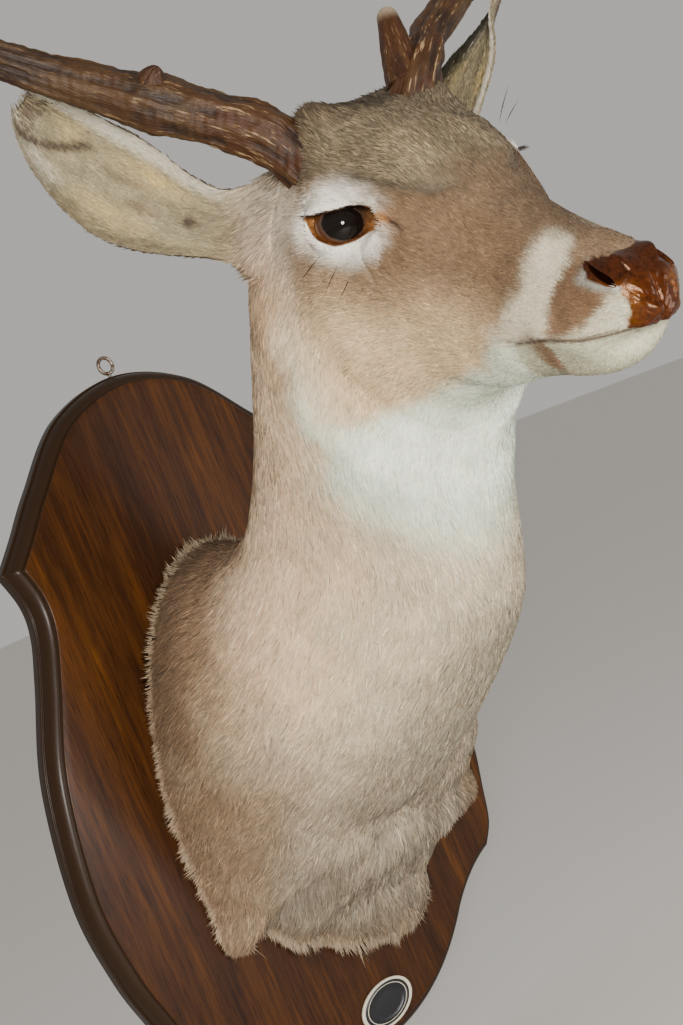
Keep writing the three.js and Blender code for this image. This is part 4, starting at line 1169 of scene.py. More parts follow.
def tufts_on(name, draw):
    """Tufts scattered over one sheet: roots by the cells' area and density, values blended from cell corners.

    A tuft is a closed blade of four points: root, the two sides of its belly at 0.4 of its length, and tip.
    """
    sheet = sheets[name]
    rows, columns = sheet["points"].shape[:2]
    sheet["row"] = np.arange(rows)[:, None] * np.ones(columns)
    way, normal = coat_way(sheet, name)
    sheet["way"], sheet["normal"] = way, normal
    hair = ear_hair(sheet) if "t" in sheet else body_hair(sheet)
    if name == "body":
        for bounds, _, _ in patches.values():
            r0, r1, c0, c1 = bounds
            hair["density"][r0:r1, c0:c1] = 0
        hair["density"][-EDGE_ROWS:] *= EDGE_DENSITY
    if name.startswith("eye"):
        hair["density"][len(LID_STEPS) - 4:] = 0
        own = to_eye(sheet["points"], 1 if name.endswith("left") else -1)
        corner = smooth(8, 16, own[..., 0]) * bump(own[..., 1], 1, 14) * (1 - smooth(34, 44, own[..., 0]))
        hair["rise"] = hair["rise"] * (0.7 - 0.4 * corner)
        hair["length"] = hair["length"] * (1 - 0.6 * corner)
        hair["density"][len(LID_STEPS) - 6:] *= corner[len(LID_STEPS) - 6:] < 0.3
    if name.startswith("nostril"):
        hair["density"][3:] = 0
    grid = sheet["points"]
    beside = np.roll(grid, -1, 1)
    area = np.linalg.norm(np.cross(beside[:-1] - grid[:-1], grid[1:] - grid[:-1]), axis=-1)
    weight = (area * hair["density"][:-1]).ravel()
    cells = draw.choice(len(weight), int(weight.sum()), p=weight / weight.sum())
    row, column = np.divmod(cells, columns)
    u, v = draw.random((2, len(cells)))

    def at(field):
        field = field if field.ndim == 3 else field[..., None]
        after = (column + 1) % columns
        u_, v_ = u[:, None], v[:, None]
        upper = field[row, column] * (1 - u_) + field[row, after] * u_
        lower = field[row + 1, column] * (1 - u_) + field[row + 1, after] * u_
        return upper * (1 - v_) + lower * v_

    n = len(cells)
    root, up, along = at(grid), unit(at(normal)), at(way)
    length = at(hair["length"])[:, 0] * (1 + soft_noise(draw, n, 0.16))
    rise = at(hair["rise"])[:, 0] * (1 + soft_noise(draw, n, 0.28))
    width = at(hair["width"])[:, 0] * (1 + soft_noise(draw, n, 0.15))
    side = np.cross(up, unit(along))
    loose = 0.09 + 0.05 * smooth(6, 22, length)
    swirl = 0.13 * patchy(root, 46, 51) + 0.08 * patchy(root, 15, 52) * smooth(4, 12, length)
    along = unit(along + side * (swirl + soft_noise(draw, n, 1) * loose)[:, None])
    along = unit(along - up * (along * up).sum(-1)[:, None])
    side = np.cross(up, along)
    bend = soft_noise(draw, n, 0.06) * length
    # a tuft that would run into the board turns outwards along it instead
    room = np.maximum(-BACK - 1.2 - root[:, 1], 0.3) * (1 + 0.5 * draw.random(n))
    run = np.minimum(length, room / np.maximum(along[:, 1], 1e-3))
    turned = (length - run) * SPLAY * (1 + soft_noise(draw, n, 0.35)) * (1 + 0.5 * patchy(root, 21, 57))
    run, turned = run[:, None], turned[:, None]
    belly = root + along * (0.4 * run) + up * (0.8 * rise[:, None] + 0.3 * turned)
    tip = root + along * run + up * (rise[:, None] + turned) + side * bend[:, None]
    up = unit(up + np.array([0, -1.0, 0]) * 1.6 * turned / length[:, None])
    side = unit(np.cross(up, along))
    half = side * (width / 2)[:, None]
    lean = up * (soft_noise(draw, n, 0.10) * width)[:, None]
    points = np.stack([root - at(normal) * 0.4, belly - half - lean, belly + half + lean, tip], 1)
    points[..., 1] = np.minimum(points[..., 1], -BACK - np.array([0.1, 0.7, 0.7, 0.2]))
    facing = up + at(sheet["soften"]) + side * soft_noise(draw, n, 0.16)[:, None]
    facing = unit(facing - along * soft_noise(draw, n, 0.1)[:, None])
    facing = unit(facing[:, None] + along[:, None] * np.array([-0.18, 0, 0, 0.12])[:, None]
                  + side[:, None] * np.array([0, -0.16, 0.16, 0])[:, None])
    tone = at(sheet["colour"])
    cap = at(hair["cap"])
    dark_coat = smooth(0.62, 0.25, tone[:, 1:2])
    lighter = soft_noise(draw, n, 0.07) + 0.12 * soft_noise(draw, n, 1) * dark_coat[:, 0]
    tone = tone * np.exp(lighter)[:, None]
    grizzle = draw.random(n)[:, None] < 0.03 + 0.16 * dark_coat + 0.2 * cap
    warmer = 1 + 0.04 * soft_noise(draw, n, 1)[:, None] * np.array([1, 0, -1])
    tone = np.where(grizzle, tone * 0.6, tone) * warmer
    pale = (draw.random(n)[:, None] < 0.12 * dark_coat + 0.3 * cap) * (0.5 + 0.5 * cap)
    tone = tone * (1 + pale)
    fringe = smooth(0, 4, turned)
    tone = tone + (FRINGE - tone) * 0.45 * fringe
    shades = np.array([0.92, 0.99, 0.99, 1.06]) + cap * np.array([-0.3, -0.1, -0.1, 0.35])
    tones = np.clip(tone[:, None] * shades[..., None], 0.004, 0.92)
    if "t" in sheet:
        spot = np.stack([(column + u) / columns, (row + v) / rows], 1)
    else:
        turn_at = at(sheet["turn"])[:, 0]
        if name == "body":
            turn_at = (column + u) / columns * 2 * np.pi
        spot = np.stack([turn_at / (2 * np.pi), (at(sheet["place"])[:, 0] + 1) / (LAST + 1)], 1)
    return {"points": points, "tones": tones, "spot": spot,
            "place": at(sheet["place"])[:, 0], "facing": facing}


def strands(name, draw):
    """An eye's lashes, along the upper lid, and a few whiskers round it, as tufts like the coat's."""
    mirror = 1 if name.endswith("left") else -1
    lid = cubic(LID_MARGIN[:7], draw.uniform(0.0, 4.6, LASHES)) + np.array([0, 0.7, 0.9])
    whisker = np.array([
        [-9, -15, 12], [2, -19, 15], [12, -20, 14], [-20, 21, 5], [-8, 24, 12], [27, -13, 12]])
    root = np.concatenate([lid, whisker])
    count, few = len(root), len(whisker)
    long = np.concatenate([draw.uniform(5, 8.5, count - few), draw.uniform(16, 28, few)])[:, None]
    way = np.concatenate([np.tile([-0.25, 0.05, 1.0], (count - few, 1)), [
        [-0.6, -0.9, 0.35], [-0.3, -1, 0.4], [-0.5, -0.8, 0.3],
        [-0.4, 0.8, 0.5], [-0.1, 0.9, 0.6], [-0.9, -0.5, 0.3]]])
    way = unit(way + draw.normal(size=(count, 3)) * 0.12)
    side = unit(np.cross(way, [0, 1, 0.2])) * np.where(np.arange(count) < count - few, 0.08, 0.05)[:, None]
    droop = np.array([0, -1.0, 0]) * long * 0.1
    belly = root + way * long * 0.4
    own = np.stack([root, belly - side, belly + side, root + way * long + droop], 1)
    points = from_eye(own, mirror)
    facing = unit(points - from_eye(np.array([0, 0, -6.0]), mirror))
    sheet = sheets[name]
    spot = np.array([sheet["turn"].mean() / (2 * np.pi), (sheet["place"].mean() + 1) / (LAST + 1)])
    return {"points": points, "tones": np.tile(LID_DARK, (count, 4, 1)), "facing": facing,
            "spot": spot + draw.uniform(-0.004, 0.004, (count, 2)),
            "place": np.full(count, sheet["place"].mean())}


TUFT_FACES = np.array([[0, 1, 2], [2, 1, 3], [0, 3, 1], [0, 2, 3]])
TUFT_SPOTS = PATCH_WIDTH * np.array([[-0.5, 0.0], [0.0, -0.5], [0.0, 0.5], [0.5, 0.0]])


def coat_piece(name, tufts, chosen):
    """The chosen tufts as one mesh. On its OFBake map each has a small patch at its root's spot."""
    points, tones, spot, facing = (tufts[k][chosen] for k in ("points", "tones", "spot", "facing"))
    count = len(points)
    faces = (TUFT_FACES[None] + 4 * np.arange(count)[:, None, None]).reshape(-1, 3)
    piece = new_piece(name, points.reshape(-1, 3), faces)
    colour_points(piece, tones.reshape(-1, 3))
    where = np.clip(0.002 + spot * 0.996, PATCH_WIDTH / 2, 1 - PATCH_WIDTH / 2)
    corners = (where[:, None, None] + TUFT_SPOTS[TUFT_FACES][None]).reshape(-1, 2)
    piece.data.normals_split_custom_set_from_vertices(facing.reshape(-1, 3).tolist())
    layer = piece.data.uv_layers.new(name="OFBake")
    layer.uv.foreach_set("vector", corners.astype(np.float32).ravel())
    piece.data.materials.append(coat_material)
    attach(piece, "root")


coat_material = toned_material("coat_hair", 0.62, 0.10, 0.003, 1.0, 0.002, 0)
draw = np.random.default_rng(7)
coats = {name: tufts_on(name, draw) for name in sheets}
for name in ("eye_right", "eye_left"):
    more = strands(name, draw)
    coats[name] = {key: np.concatenate([coats[name][key], more[key]]) for key in more}
whole = {key: np.concatenate([coats[n][key] for n in coats if not n.startswith("ear")])
         for key in ("points", "tones", "spot", "place", "facing")}
for name, low, high, slot in (
        ("face", -2, 8.0, "coat_tan"), ("skull", 8.0, 13.0, "coat_tan"), ("neck", 13.0, 18.5, "coat_tan"),
        ("shoulders", 18.5, LAST + 1, "coat_tan")):
    chosen = np.nonzero((whole["place"] >= low) & (whole["place"] < high))[0]
    chosen = chosen[np.argsort(whole["spot"][chosen, 0], kind="stable")]
    parts = int(np.ceil(len(chosen) / MOST_TUFTS))
    for k, share in enumerate(np.array_split(chosen, parts)):
        coat_piece("coat_" + name + "_" + str(k + 1), whole, share)
for side in ("right", "left"):
    tufts = coats["ear_" + side]
    coat_piece("coat_ear_" + side, tufts, np.arange(len(tufts["points"])))

# ------------------------------------------------------------------------------------------------
# The eyes: glass balls made for a deer, set in clay before the hide goes on. A broad black pupil lies
# across a nearly black iris, with a thin paler ring round it and amber where the glass meets the lids.

EYE_LOOKS = np.array([4.9, 3.4, 15.4])
PUPIL = (12.5, 10.0)
GLASS_RINGS, GLASS_COLUMNS = 72, 96
GLASS_BLACK = np.array([0.006, 0.004, 0.003])
GLASS_RING = np.array([0.075, 0.042, 0.028])
GLASS_BROWN = np.array([0.060, 0.018, 0.005])
GLASS_AMBER = np.array([0.24, 0.085, 0.018])


def eyeball(mirror):
    """A ball in rings round its gaze: radius times (sin a cos b, sin a sin b, cos a), domed in front.

    The tone goes by e, the distance from the pupil's middle as a share of the pupil's half length or height.
    """
    angle = np.linspace(0.004, np.pi - 0.004, GLASS_RINGS)[:, None]
    turn = np.arange(GLASS_COLUMNS)[None] * 2 * np.pi / GLASS_COLUMNS * mirror
    radius = EYE_RADIUS - 0.35 + 0.7 * bump(angle, 0, 0.55)
    ball = np.stack([
        np.sin(angle) * np.cos(turn), np.sin(angle) * np.sin(turn), np.cos(angle) + 0 * turn], -1)
    gaze = unit(EYE_LOOKS)
    along = unit(np.array([1.0, 0, 0]) - gaze * gaze[0])
    axes = np.stack([along, np.cross(gaze, along), gaze])
    own = ball * radius[..., None] @ axes
    e = np.hypot(ball[..., 0] * EYE_RADIUS / PUPIL[0], ball[..., 1] * EYE_RADIUS / PUPIL[1])
    e = e + (ball[..., 2] < 0) * 3
    e = e + 0.012 * np.sin(9 * turn) + 0.01 * np.sin(23 * turn)
    tone = GLASS_BLACK + (GLASS_RING - GLASS_BLACK) * smooth(0.9, 0.99, e)[..., None]
    tone = tone + (GLASS_BROWN - tone) * smooth(1.0, 1.07, e)[..., None]
    tone = tone + (GLASS_AMBER - tone) * smooth(1.12, 1.5, e)[..., None]
    return from_eye(own, mirror), tone


def tube_faces(rings, columns, start=0):
    """Quads between rings of points and fans over the first and last ring, about two poles after them."""
    numbers = np.arange(rings * columns).reshape(rings, columns) + start
    count = start + rings * columns
    return (ring_quads(numbers).reshape(-1, 4),
            np.concatenate([close_end(numbers[0], count, False), close_end(numbers[-1], count + 1, True)]))


def with_poles(rings):
    """A grid's points in a row, and the middles of its first and last ring."""
    return np.concatenate([rings.reshape(-1, rings.shape[-1]), rings[:1].mean(1), rings[-1:].mean(1)])


glass_material = toned_material("eye_glass", 0.04, 0.0, 0.002, 1.0, 0.002, 0)
glass_shader = glass_material.node_tree.nodes["Principled BSDF"]
glass_shader.inputs["Specular IOR Level"].default_value = 0.2
for side, mirror in (("right", -1), ("left", 1)):
    points, tones = eyeball(mirror)
    glass = new_piece("glass_eye_" + side, with_poles(points), *tube_faces(GLASS_RINGS, GLASS_COLUMNS))
    colour_points(glass, with_poles(tones))
    glass.data.materials.append(glass_material)
    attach(glass, "root")
    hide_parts("eye_" + side)

# ------------------------------------------------------------------------------------------------
# The antlers: the buck's own, sawn off with a plate of skull and screwed to the form. Each is one bone,
# ridged lengthwise and beaded near the root, reddish brown with worn cream ridges and pale polished tips.

# each main beam's middle line in the head's frame, y outwards, and its radius along it
BEAMS = {
    "right": [[-50, 34, 10], [-72, 58, 40], [-100, 103, 65], [-128, 160, 95], [-140, 218, 130],
              [-124, 264, 172], [-80, 286, 212], [-20, 280, 248], [40, 250, 268]],
    "left": [[-46, 14, 16], [-58, 34, 54], [-90, 66, 70], [-128, 118, 86], [-142, 184, 118],
             [-124, 240, 166], [-80, 270, 210], [-20, 272, 246], [40, 250, 268]],
}
BEAM_RADII = {
    "right": [15, 15, 14, 11, 9.8, 9.5, 8.5, 7, 2.5],
    "left": [13.5, 12.5, 10, 10, 9.8, 9.5, 8.5, 7, 2.5],
}
# forks: place along the beam, then the tine's middle line from there and its radii
BROW_POINT = (2.15, [[0, 0, 0], [2, -1, 8], [5, -2, 15], [8, -4, 21]], [9, 12, 10.5, 6.5, 2.4])
BROW_TINE = (0.95, [[0, -6, 0], [-10, -4, 14], [-19, -2, 27], [-27, 0, 38]], [12, 10, 7.5, 5.5])
SECOND_TINE = (4.5, [[0, 0, 0], [8, 4, 62], [30, -4, 118]], [8.5, 7, 2])
THIRD_TINE = (6.1, [[0, 0, 0], [6, 2, 48], [22, -4, 88]], [7.5, 6, 2])
TINES = {
    "right": {"brow_point": BROW_POINT, "second_tine": SECOND_TINE, "third_tine": THIRD_TINE},
    "left": {"brow_tine": BROW_TINE, "second_tine": SECOND_TINE, "third_tine": THIRD_TINE},
}
BEAM_RINGS, BEAM_COLUMNS = 420, 60
TINE_RINGS, TINE_COLUMNS = 90, 44
BONE_RED = np.array([0.044, 0.0142, 0.0030])
BONE_GREY = np.array([0.046, 0.0220, 0.0064])
BONE_DARK = np.array([0.014, 0.006, 0.0028])
BONE_TIP = np.array([0.50, 0.40, 0.27])
BEAM_FLARE, TINE_FLARE = 3.0, 0.5
# the swelling under the right brow point: place and reach as shares of the beam, and height by side
KNOB_AT, KNOB_REACH = 0.27, 0.035
KNOB_HEIGHTS = {"right": 2.5, "left": 0}


def antler_tube(line, radii, rings, columns, reference, flare, seed, reach, knob=0):
    """A round bar along a curve, ridged lengthwise.

    Radius is the tapered one, plus the flare times exp(-7t) at the foot, the knob's bell, sines of the angle
    that wander along it and beads near the root. reach is the bar's start and end as shares of the antler.
    """
    t = np.linspace(0, 1, rings)
    centre = cubic(line, t * (len(line) - 1))
    radius = cubic(np.array(radii, float)[:, None], t * (len(radii) - 1))[:, 0]
    tangent = unit(np.gradient(centre, axis=0))
    side = unit(np.cross(reference, tangent))
    up = np.cross(tangent, side)
    angle = np.arange(columns)[None] * 2 * np.pi / columns
    run = np.concatenate([[0], np.cumsum(np.linalg.norm(np.diff(centre, axis=0), axis=-1))])[:, None]
    to_end = ((run - run[-1]) / radii[-1] + 1).clip(0, 1)
    round_off = np.sqrt(1 - 0.9995 * to_end ** 2)
    plain = radius[:, None] * round_off + flare * np.exp(-7 * t)[:, None]
    plain = plain + knob * bump(t, KNOB_AT, KNOB_REACH)[:, None]
    direction = side[:, None] * np.cos(angle)[..., None] + up[:, None] * np.sin(angle)[..., None]
    surface = centre[:, None] + direction * plain[..., None]
    share = (reach[0] + (reach[1] - reach[0]) * t)[:, None]
    rough = (1 - smooth(0.55, 1.0, share)) * np.ones_like(angle)
    wander = 0.9 * np.sin(run / 41 + seed) + 0.5 * np.sin(run / 17 + 2 * seed)
    ridges = np.sin(7 * angle + 1.5 * wander) + 0.8 * np.sin(12 * angle - 1.2 * wander + 0.4 * seed)
    ridges = ridges + 0.5 * np.sin(19 * angle + wander) * np.sin(run / 23)
    stretched = np.stack([
        run / 3.2 + 0 * angle, 14 * np.cos(angle) + 0 * run, 14 * np.sin(angle) + 0 * run], -1)
    beads = patchy(stretched, 5.5, seed) * np.exp(-((run / 130) ** 2))
    relief = (0.42 * ridges + 0.9 * beads.clip(-0.3, 1.5) + 0.22 * patchy(surface, 7, seed + 1)) * rough
    relief = relief + 0.8 * patchy(surface, 34, seed + 2) * rough
    calm = 0.3 + 0.7 * smooth(0, 120, run[-1])
    relief = relief * calm
    tips = smooth(0.72, 1.0, t)[:, None] * np.ones_like(angle) * smooth(0.3, 0.6, reach[1])
    near = np.exp(-((run / 110) ** 2)) * np.ones_like(angle)
    worn = (0.25 + 0.75 * near) * calm * rough * smooth(-0.6, 0.6, ridges)
    grain = np.stack([
        radius[:, None] * np.cos(angle), radius[:, None] * np.sin(angle), run / 9 + 0 * angle], -1)
    redder = smooth(0.1, 0.9, near + 0.25 * patchy(surface, 30, seed + 4))
    base = BONE_GREY + (BONE_RED - BONE_GREY) * redder[..., None]
    groove = smooth(0.3, -0.9, relief)
    tone = base + (BONE_DARK - base) * (0.8 * groove)[..., None]
    tone = tone + (BONE_GREY * 1.6 - tone) * (smooth(0.6, 1.5, ridges + relief) * 0.4 * rough)[..., None]
    tone = tone + (BONE_TIP - tone) * (tips * 0.85)[..., None]
    return surface + direction * relief[..., None], np.concatenate([tone, worn[..., None], grain * MM], -1)


def antler(side, mirror):
    """The beam and its tines, each a closed bar that grows out of the beam, as one mesh."""
    line = np.array(BEAMS[side], float) * np.array([1, mirror, 1])
    line = from_head(line)
    bars = [antler_tube(line, BEAM_RADII[side], BEAM_RINGS, BEAM_COLUMNS, UP, BEAM_FLARE, 31 + mirror,
                        (0, 1), KNOB_HEIGHTS[side])]
    for k, (at, path, radii) in enumerate(TINES[side].values()):
        start = cubic(line, np.array([at]))[0]
        path = start + (np.array(path, float) * np.array([1, mirror, 1])) @ HEAD_AXES.T
        reach = (0.1, 0.3) if k == 0 and side == "right" else (0.4, 1.0)
        seed = 41 + 5 * k + mirror
        bars.append(antler_tube(path, radii, TINE_RINGS, TINE_COLUMNS, FORWARD, TINE_FLARE, seed, reach))
    points, tones, quads, fans, count = [], [], [], [], 0
    for surface, tone in bars:
        q, f = tube_faces(*surface.shape[:2], count)
        points.append(with_poles(surface))
        tones.append(with_poles(tone))
        quads.append(q)
        fans.append(f)
        count += len(points[-1])
    return np.concatenate(points), np.concatenate(tones), np.concatenate(quads), np.concatenate(fans)


def bone():
    """The points' tone under cream flecks, where the tone's alpha says worn, and a bump along the grain."""
    material = toned_material("antler_bone", 0.5, 0.22, 0.0014, 1.0, 0.0012, 0)
    shader = material.node_tree.nodes["Principled BSDF"]
    shader.inputs["Specular IOR Level"].default_value = 0.3
    base = shader.inputs["Base Color"].links[0].from_socket
    worn = add_node(material, "Attribute", attribute_name="tone").outputs["Alpha"]
    grain = add_node(material, "Attribute", attribute_name="grain").outputs["Vector"]
    flecks = remapped(material, noise_over(material, grain, 900.0, 2.0), 0.60, 0.68)
    share = add_node(material, "Math", operation="MULTIPLY")
    link(material, flecks, share.inputs[0])
    link(material, worn, share.inputs[1])
    feed(material, mixed_to(material, share.outputs["Value"], base, (0.33, 0.22, 0.11)))
    give_relief(material, noise_over(material, grain, 800.0, 4.0, 0.6), 0.0009)
    return material


bone_material = bone()
for side, mirror in (("right", -1), ("left", 1)):
    points, looks, quads, fans = antler(side, mirror)
    piece = new_piece("antler_" + side, points, quads, fans)
    colour_points(piece, looks[:, :3], looks[:, 3])
    layer = piece.data.attributes.new("grain", "FLOAT_VECTOR", "POINT")
    layer.data.foreach_set("vector", looks[:, 4:].astype(np.float32).ravel())
    piece.data.materials.append(bone_material)
    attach(piece, "root")
    lengths = ["base", "beam_lower", "beam_upper", "beam_tip", *TINES[side]]
    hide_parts(*("antler_" + side + "_" + length for length in lengths))

# ------------------------------------------------------------------------------------------------
# The board: a shield of solid wood, its rim run with a moulding of a narrow step, a rounded bead that
# leans inwards and a groove, then stained dark and varnished. The animal is screwed on from behind.

BOARD_TOP, BOARD_BOTTOM = 293.0, -277.0
CUSP = (157.0, 183.0)
WAIST = (149.5, 157.0)
BELLY = 205.5
FOOT = (166.0, -200.0)
TOE = (112.0, -227.0)
RIM_HEIGHT = 9.0
BEAD_FROM, BEAD_WIDTH = 1.6, 8.0


def bow(points, count):
    """A count of points on the curve through some points, by the cubic through four neighbours."""
    return cubic(np.array(points, float), np.linspace(0, len(points) - 1, count))


def arc(points, count):
    """The curve of two lines' blending: (1-t)^2, 2t(1-t) and t^2 of three points."""
    t = np.linspace(0, 1, count)[:, None]
    a, b, c = np.array(points, float)
    return a * (1 - t) ** 2 + b * 2 * t * (1 - t) + c * t ** 2


def half_outline():
    """The right half's four curves from the dome's crown to the foot's tip: dome, flank, hollow and foot."""
    x, z = CUSP
    dome = bow([(-0.4 * x, BOARD_TOP - 17), (0, BOARD_TOP), (0.4 * x, BOARD_TOP - 17),
                (0.7 * x, BOARD_TOP - 60), (0.87 * x, z + 21), CUSP], 276)[55:]
    flank = bow([CUSP, WAIST, (WAIST[0] + 2, WAIST[1] - 24), (WAIST[0] + 14.5, WAIST[1] - 57),
                 (BELLY - 14.5, 34), (BELLY, -50), (BELLY - 5, -112), (FOOT[0] + 24, -153),
                 (FOOT[0] + 15, FOOT[1] + 18), FOOT], 361)
    hollow = arc([FOOT, (138, FOOT[1] - 6), TOE], 81)
    foot = arc([TOE, (0.55 * TOE[0], BOARD_BOTTOM + 2), (0, BOARD_BOTTOM)], 81)
    return [dome, flank, hollow, foot]


def moved_in(curve, inset):
    """A curve moved to its right-hand side by an inset, with straight ends added so that neighbours meet."""
    way = unit(np.gradient(curve, axis=0))
    moved = curve + np.stack([way[:, 1], -way[:, 0]], 1) * inset
    return np.concatenate([moved[:1] - way[:1] * 30, moved, moved[-1:] + way[-1:] * 30])


def crossing(first, second):
    """Where two chains of points cross, as places along each: late on the first and early on the second."""
    p, r = first[:-1, None], np.diff(first, axis=0)[:, None]
    q, s = second[None, :-1], np.diff(second, axis=0)[None]
    cross = r[..., 0] * s[..., 1] - r[..., 1] * s[..., 0] + 1e-12
    gap = q - p
    t = (gap[..., 0] * s[..., 1] - gap[..., 1] * s[..., 0]) / cross
    u = (gap[..., 0] * r[..., 1] - gap[..., 1] * r[..., 0]) / cross
    hit = (np.abs(t - 0.5) < 0.500001) & (np.abs(u - 0.5) < 0.500001)
    i, j = np.nonzero(hit)
    k = np.argmin(len(first) - i + j)
    return i[k] + t[i[k], j[k]], j[k] + u[i[k], j[k]]


PIECE_STEPS = (56, 90, 22, 30)


def outline(inset):
    """The closed outline moved inwards, each curve cut where it meets the next, in equal steps."""
    half = half_outline()
    moved = [moved_in(curve, inset) for curve in half]
    starts, ends = [1.0], []
    for a, b in zip(moved, moved[1:]):
        end, start = crossing(a, b)
        ends.append(end)
        starts.append(start)
    ends.append(len(moved[-1]) - 2.0)
    right = []
    for chain, start, end, steps in zip(moved, starts, ends, PIECE_STEPS):
        place = np.linspace(start, end, steps + 1)[:-1]
        right.append(np.stack([np.interp(place, np.arange(len(chain)), chain[:, k]) for k in (0, 1)], 1))
    right = np.concatenate(right)
    tip = np.array([[0, BOARD_BOTTOM + inset]])
    return np.concatenate([right, tip, right[:0:-1] * np.array([-1, 1])])


def edge_profile():
    """Insets and heights from the wall up: side, narrow step, a bead that leans inwards, groove and face."""
    quarter = np.linspace(0, np.pi / 2, 5)
    half = np.linspace(0.06, 1, 17) * np.pi
    inner = BEAD_FROM + BEAD_WIDTH
    side = [[0.6, 0], [0, 0.6], [0, RIM_HEIGHT - 1.4]]
    eased = np.stack([0.9 - 0.9 * np.cos(quarter), RIM_HEIGHT - 0.9 + 0.9 * np.sin(quarter)], 1)
    step = [[BEAD_FROM - 0.3, RIM_HEIGHT - 0.1], [BEAD_FROM, RIM_HEIGHT - 0.6]]
    bead = np.stack([
        BEAD_FROM + BEAD_WIDTH * (1 - np.cos(half)) / 2,
        RIM_HEIGHT + (BOARD_THICK - 2.2 - RIM_HEIGHT) * half / np.pi + 4.2 * np.sin(half)], 1)
    groove = [[inner + 0.25, BOARD_THICK - 2.0], [inner + 0.5, BOARD_THICK - 0.7],
              [inner + 0.9, BOARD_THICK - 0.15]]
    bead[:, 1] = np.minimum(bead[:, 1], BOARD_THICK - 0.4)
    face = [[inner + 1.6, BOARD_THICK], [inner + 6, BOARD_THICK], [inner + 20, BOARD_THICK]]
    return np.concatenate([side, eased, step, bead, groove, face])


def board_points():
    """Rings of points from the back's middle round the edge to the face's middle."""
    rings = []
    for inset, height in edge_profile():
        flat = outline(inset)
        rings.append(np.stack([flat[:, 0], np.full(len(flat), -height), flat[:, 1]], 1))
    back = [rings[0] * np.array([k, 1, k]) for k in (0.05, 0.35, 0.7)]
    face = [rings[-1] * np.array([k, 1, k]) for k in (0.8, 0.55, 0.3, 0.05)]
    return np.stack(back + rings + face)[:, ::-1]


def wood_material():
    """Stained wood: long soft streaks along z and fine pores on the face, plain dark stain elsewhere."""
    material = plain_material("varnished_wood", (0.05, 0.02, 0.008), 0.42)
    shader = material.node_tree.nodes["Principled BSDF"]
    place = add_node(material, "TexCoord").outputs["Object"]

    def streaks(width, length, detail, distortion):
        spread = add_node(material, "Mapping", Scale=(1 / width, 1 / width, 1 / length))
        link(material, place, spread.inputs["Vector"])
        return noise_over(material, spread.outputs["Vector"], 1.0, detail, 0.6, distortion)

    pores = streaks(0.0009, 0.018, 2.0, 0.0)
    both = add_node(material, "Mix", data_type="FLOAT", Factor=0.45)
    link(material, streaks(0.030, 0.34, 3.0, 0.6), both.inputs["A"])
    link(material, streaks(0.0045, 0.10, 4.0, 0.3), both.inputs["B"])
    stain = ramp_over(
        material, both.outputs["Result"], (0.30, (0.017, 0.006, 0.0028)), (0.48, (0.040, 0.0135, 0.0034)),
        (0.62, (0.078, 0.026, 0.0042)), (0.78, (0.20, 0.072, 0.009)))
    grained = times(material, stain, remapped(material, pores, 0.34, 0.5, 0.55))
    height = add_node(material, "SeparateXYZ")
    link(material, place, height.inputs["Vector"])
    on_bead = remapped(
        material, height.outputs["Y"], -(BOARD_THICK - 0.1) * MM, -(BOARD_THICK - 0.6) * MM)
    feed(material, mixed_to(material, on_bead, grained, (0.021, 0.0095, 0.0034)))
    give_relief(material, pores, 0.0003, 0.5)
    shader.inputs["Coat Weight"].default_value = 0.10
    shader.inputs["Coat Roughness"].default_value = 0.2
    shader.inputs["Specular IOR Level"].default_value = 0.14
    return material


board_grid = board_points()
board = new_piece("shield_board", with_poles(board_grid), *tube_faces(*board_grid.shape[:2]))
board.data.materials.append(wood_material())
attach(board, "root")
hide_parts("board")

# ------------------------------------------------------------------------------------------------
# The hanger: a small screw eye of dull steel wire, turned into the top edge of the board.

RING_RADIUS, RING_WIRE = 6.5, 1.5
RING_Y = -6.5
SHANK = 9.0
THREAD_PITCH = 1.3
RING_AT = np.array([0, RING_Y, BOARD_TOP + RING_RADIUS + 3])


def screw_eye():
    """A ring of wire, open by a hair where it meets the shank, and a threaded shank below it."""
    a = np.linspace(-np.pi / 2 + 0.16, 3 * np.pi / 2 - 0.05, 84)
    centre = RING_AT + np.stack([RING_RADIUS * np.cos(a), 0.35 * np.cos(a / 2), RING_RADIUS * np.sin(a)], 1)
    out = np.stack([np.cos(a), 0 * a, np.sin(a)], 1)
    b = np.arange(20) * 2 * np.pi / 20
    wire = centre[:, None] + RING_WIRE * (
        out[:, None] * np.cos(b)[None, :, None] + np.array([0.0, 1, 0]) * np.sin(b)[None, :, None])
    top = RING_AT[2] - RING_RADIUS + 0.6
    z = np.linspace(top, top - SHANK, 70)
    ridge = np.sin(2 * np.pi * z[:, None] / THREAD_PITCH + b[None])
    thread = RING_WIRE - 0.18 + 0.26 * ridge * smooth(0, 2.5, top - z)[:, None]
    pin = np.stack([thread * np.cos(-b), RING_Y + thread * np.sin(-b), z[:, None] + 0 * thread], -1)
    return wire, pin


wire, pin = screw_eye()
wire_quads, wire_fans = tube_faces(*wire.shape[:2])
pin_quads, pin_fans = tube_faces(*pin.shape[:2], len(with_poles(wire)))
hanger = new_piece(
    "screw_eye", np.concatenate([with_poles(wire), with_poles(pin)]),
    np.concatenate([wire_quads, pin_quads]), np.concatenate([wire_fans, pin_fans]))


def steel_material():
    """Dull steel that has browned in patches."""
    material = plain_material("dull_steel", (0.3, 0.27, 0.23), 0.45)
    place = add_node(material, "TexCoord").outputs["Object"]
    feed(material, ramp_over(
        material, noise_over(material, place, 420.0, 4.0), (0.4, (0.10, 0.055, 0.03)),
        (0.62, (0.34, 0.30, 0.25))))
    material.node_tree.nodes["Principled BSDF"].inputs["Metallic"].default_value = 0.8
    return material


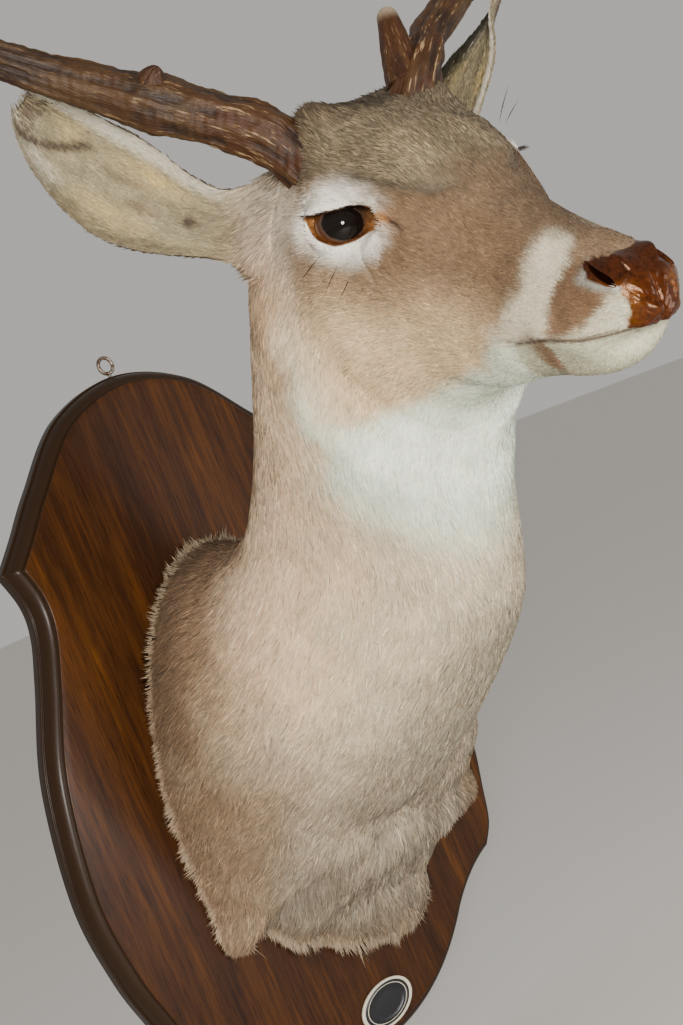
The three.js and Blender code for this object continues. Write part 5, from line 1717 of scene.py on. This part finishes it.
hanger.data.materials.append(steel_material())
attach(hanger, "root")
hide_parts("hanger_ring")

# ------------------------------------------------------------------------------------------------
# The badge: a small domed oval tag pinned near the board's foot, with a cream rim and a bare black field
# inside a thin cream line.

BADGE_HALF, BADGE_ASPECT, BADGE_THICK = 28.0, 0.62, 2.2
BADGE_AT = (-5.0, -246.0)
BADGE_COLUMNS = 96


def badge_rings():
    """Radius, height and tone from the back's middle round the rim to the front's middle, as rings."""
    rim, low = BADGE_THICK, BADGE_THICK - 0.5
    cream, black = (0.62, 0.56, 0.43), (0.009, 0.009, 0.012)
    rows = [
        (1, 0, cream), (BADGE_HALF - 0.5, 0, cream), (BADGE_HALF, 0.4, cream), (BADGE_HALF, rim - 0.7, cream),
        (BADGE_HALF - 0.3, rim - 0.2, cream), (BADGE_HALF - 1, rim, cream), (BADGE_HALF - 2.4, rim, cream),
        (BADGE_HALF - 2.9, rim - 0.15, cream), (BADGE_HALF - 3.1, low, cream),
        (BADGE_HALF - 3.15, low, black),
        (BADGE_HALF - 6.0, low, black), (BADGE_HALF - 6.05, low + 0.12, cream),
        (BADGE_HALF - 6.7, low + 0.12, cream), (BADGE_HALF - 6.75, low, black),
        (14, low + 0.25, black), (7, low + 0.4, black), (1, low + 0.45, black)]
    radius, height = np.array([r[:2] for r in rows]).T
    tones = np.array([r[2] for r in rows])
    angle = np.arange(BADGE_COLUMNS) * 2 * np.pi / BADGE_COLUMNS
    points = np.stack([
        BADGE_AT[0] + radius[:, None] * np.cos(angle), -BACK - height[:, None] + 0 * angle,
        BADGE_AT[1] + radius[:, None] * BADGE_ASPECT * np.sin(angle)], -1)
    return points, np.repeat(tones[:, None], BADGE_COLUMNS, 1)


badge_grid, badge_tones = badge_rings()
badge = new_piece("oval_tag", with_poles(badge_grid), *tube_faces(*badge_grid.shape[:2]))
colour_points(badge, with_poles(badge_tones))
badge.data.materials.append(toned_material("tag_enamel", 0.28, 0.12, 0.004, 1.0, 0.003, 0.00008))
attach(badge, "root")
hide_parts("badge")
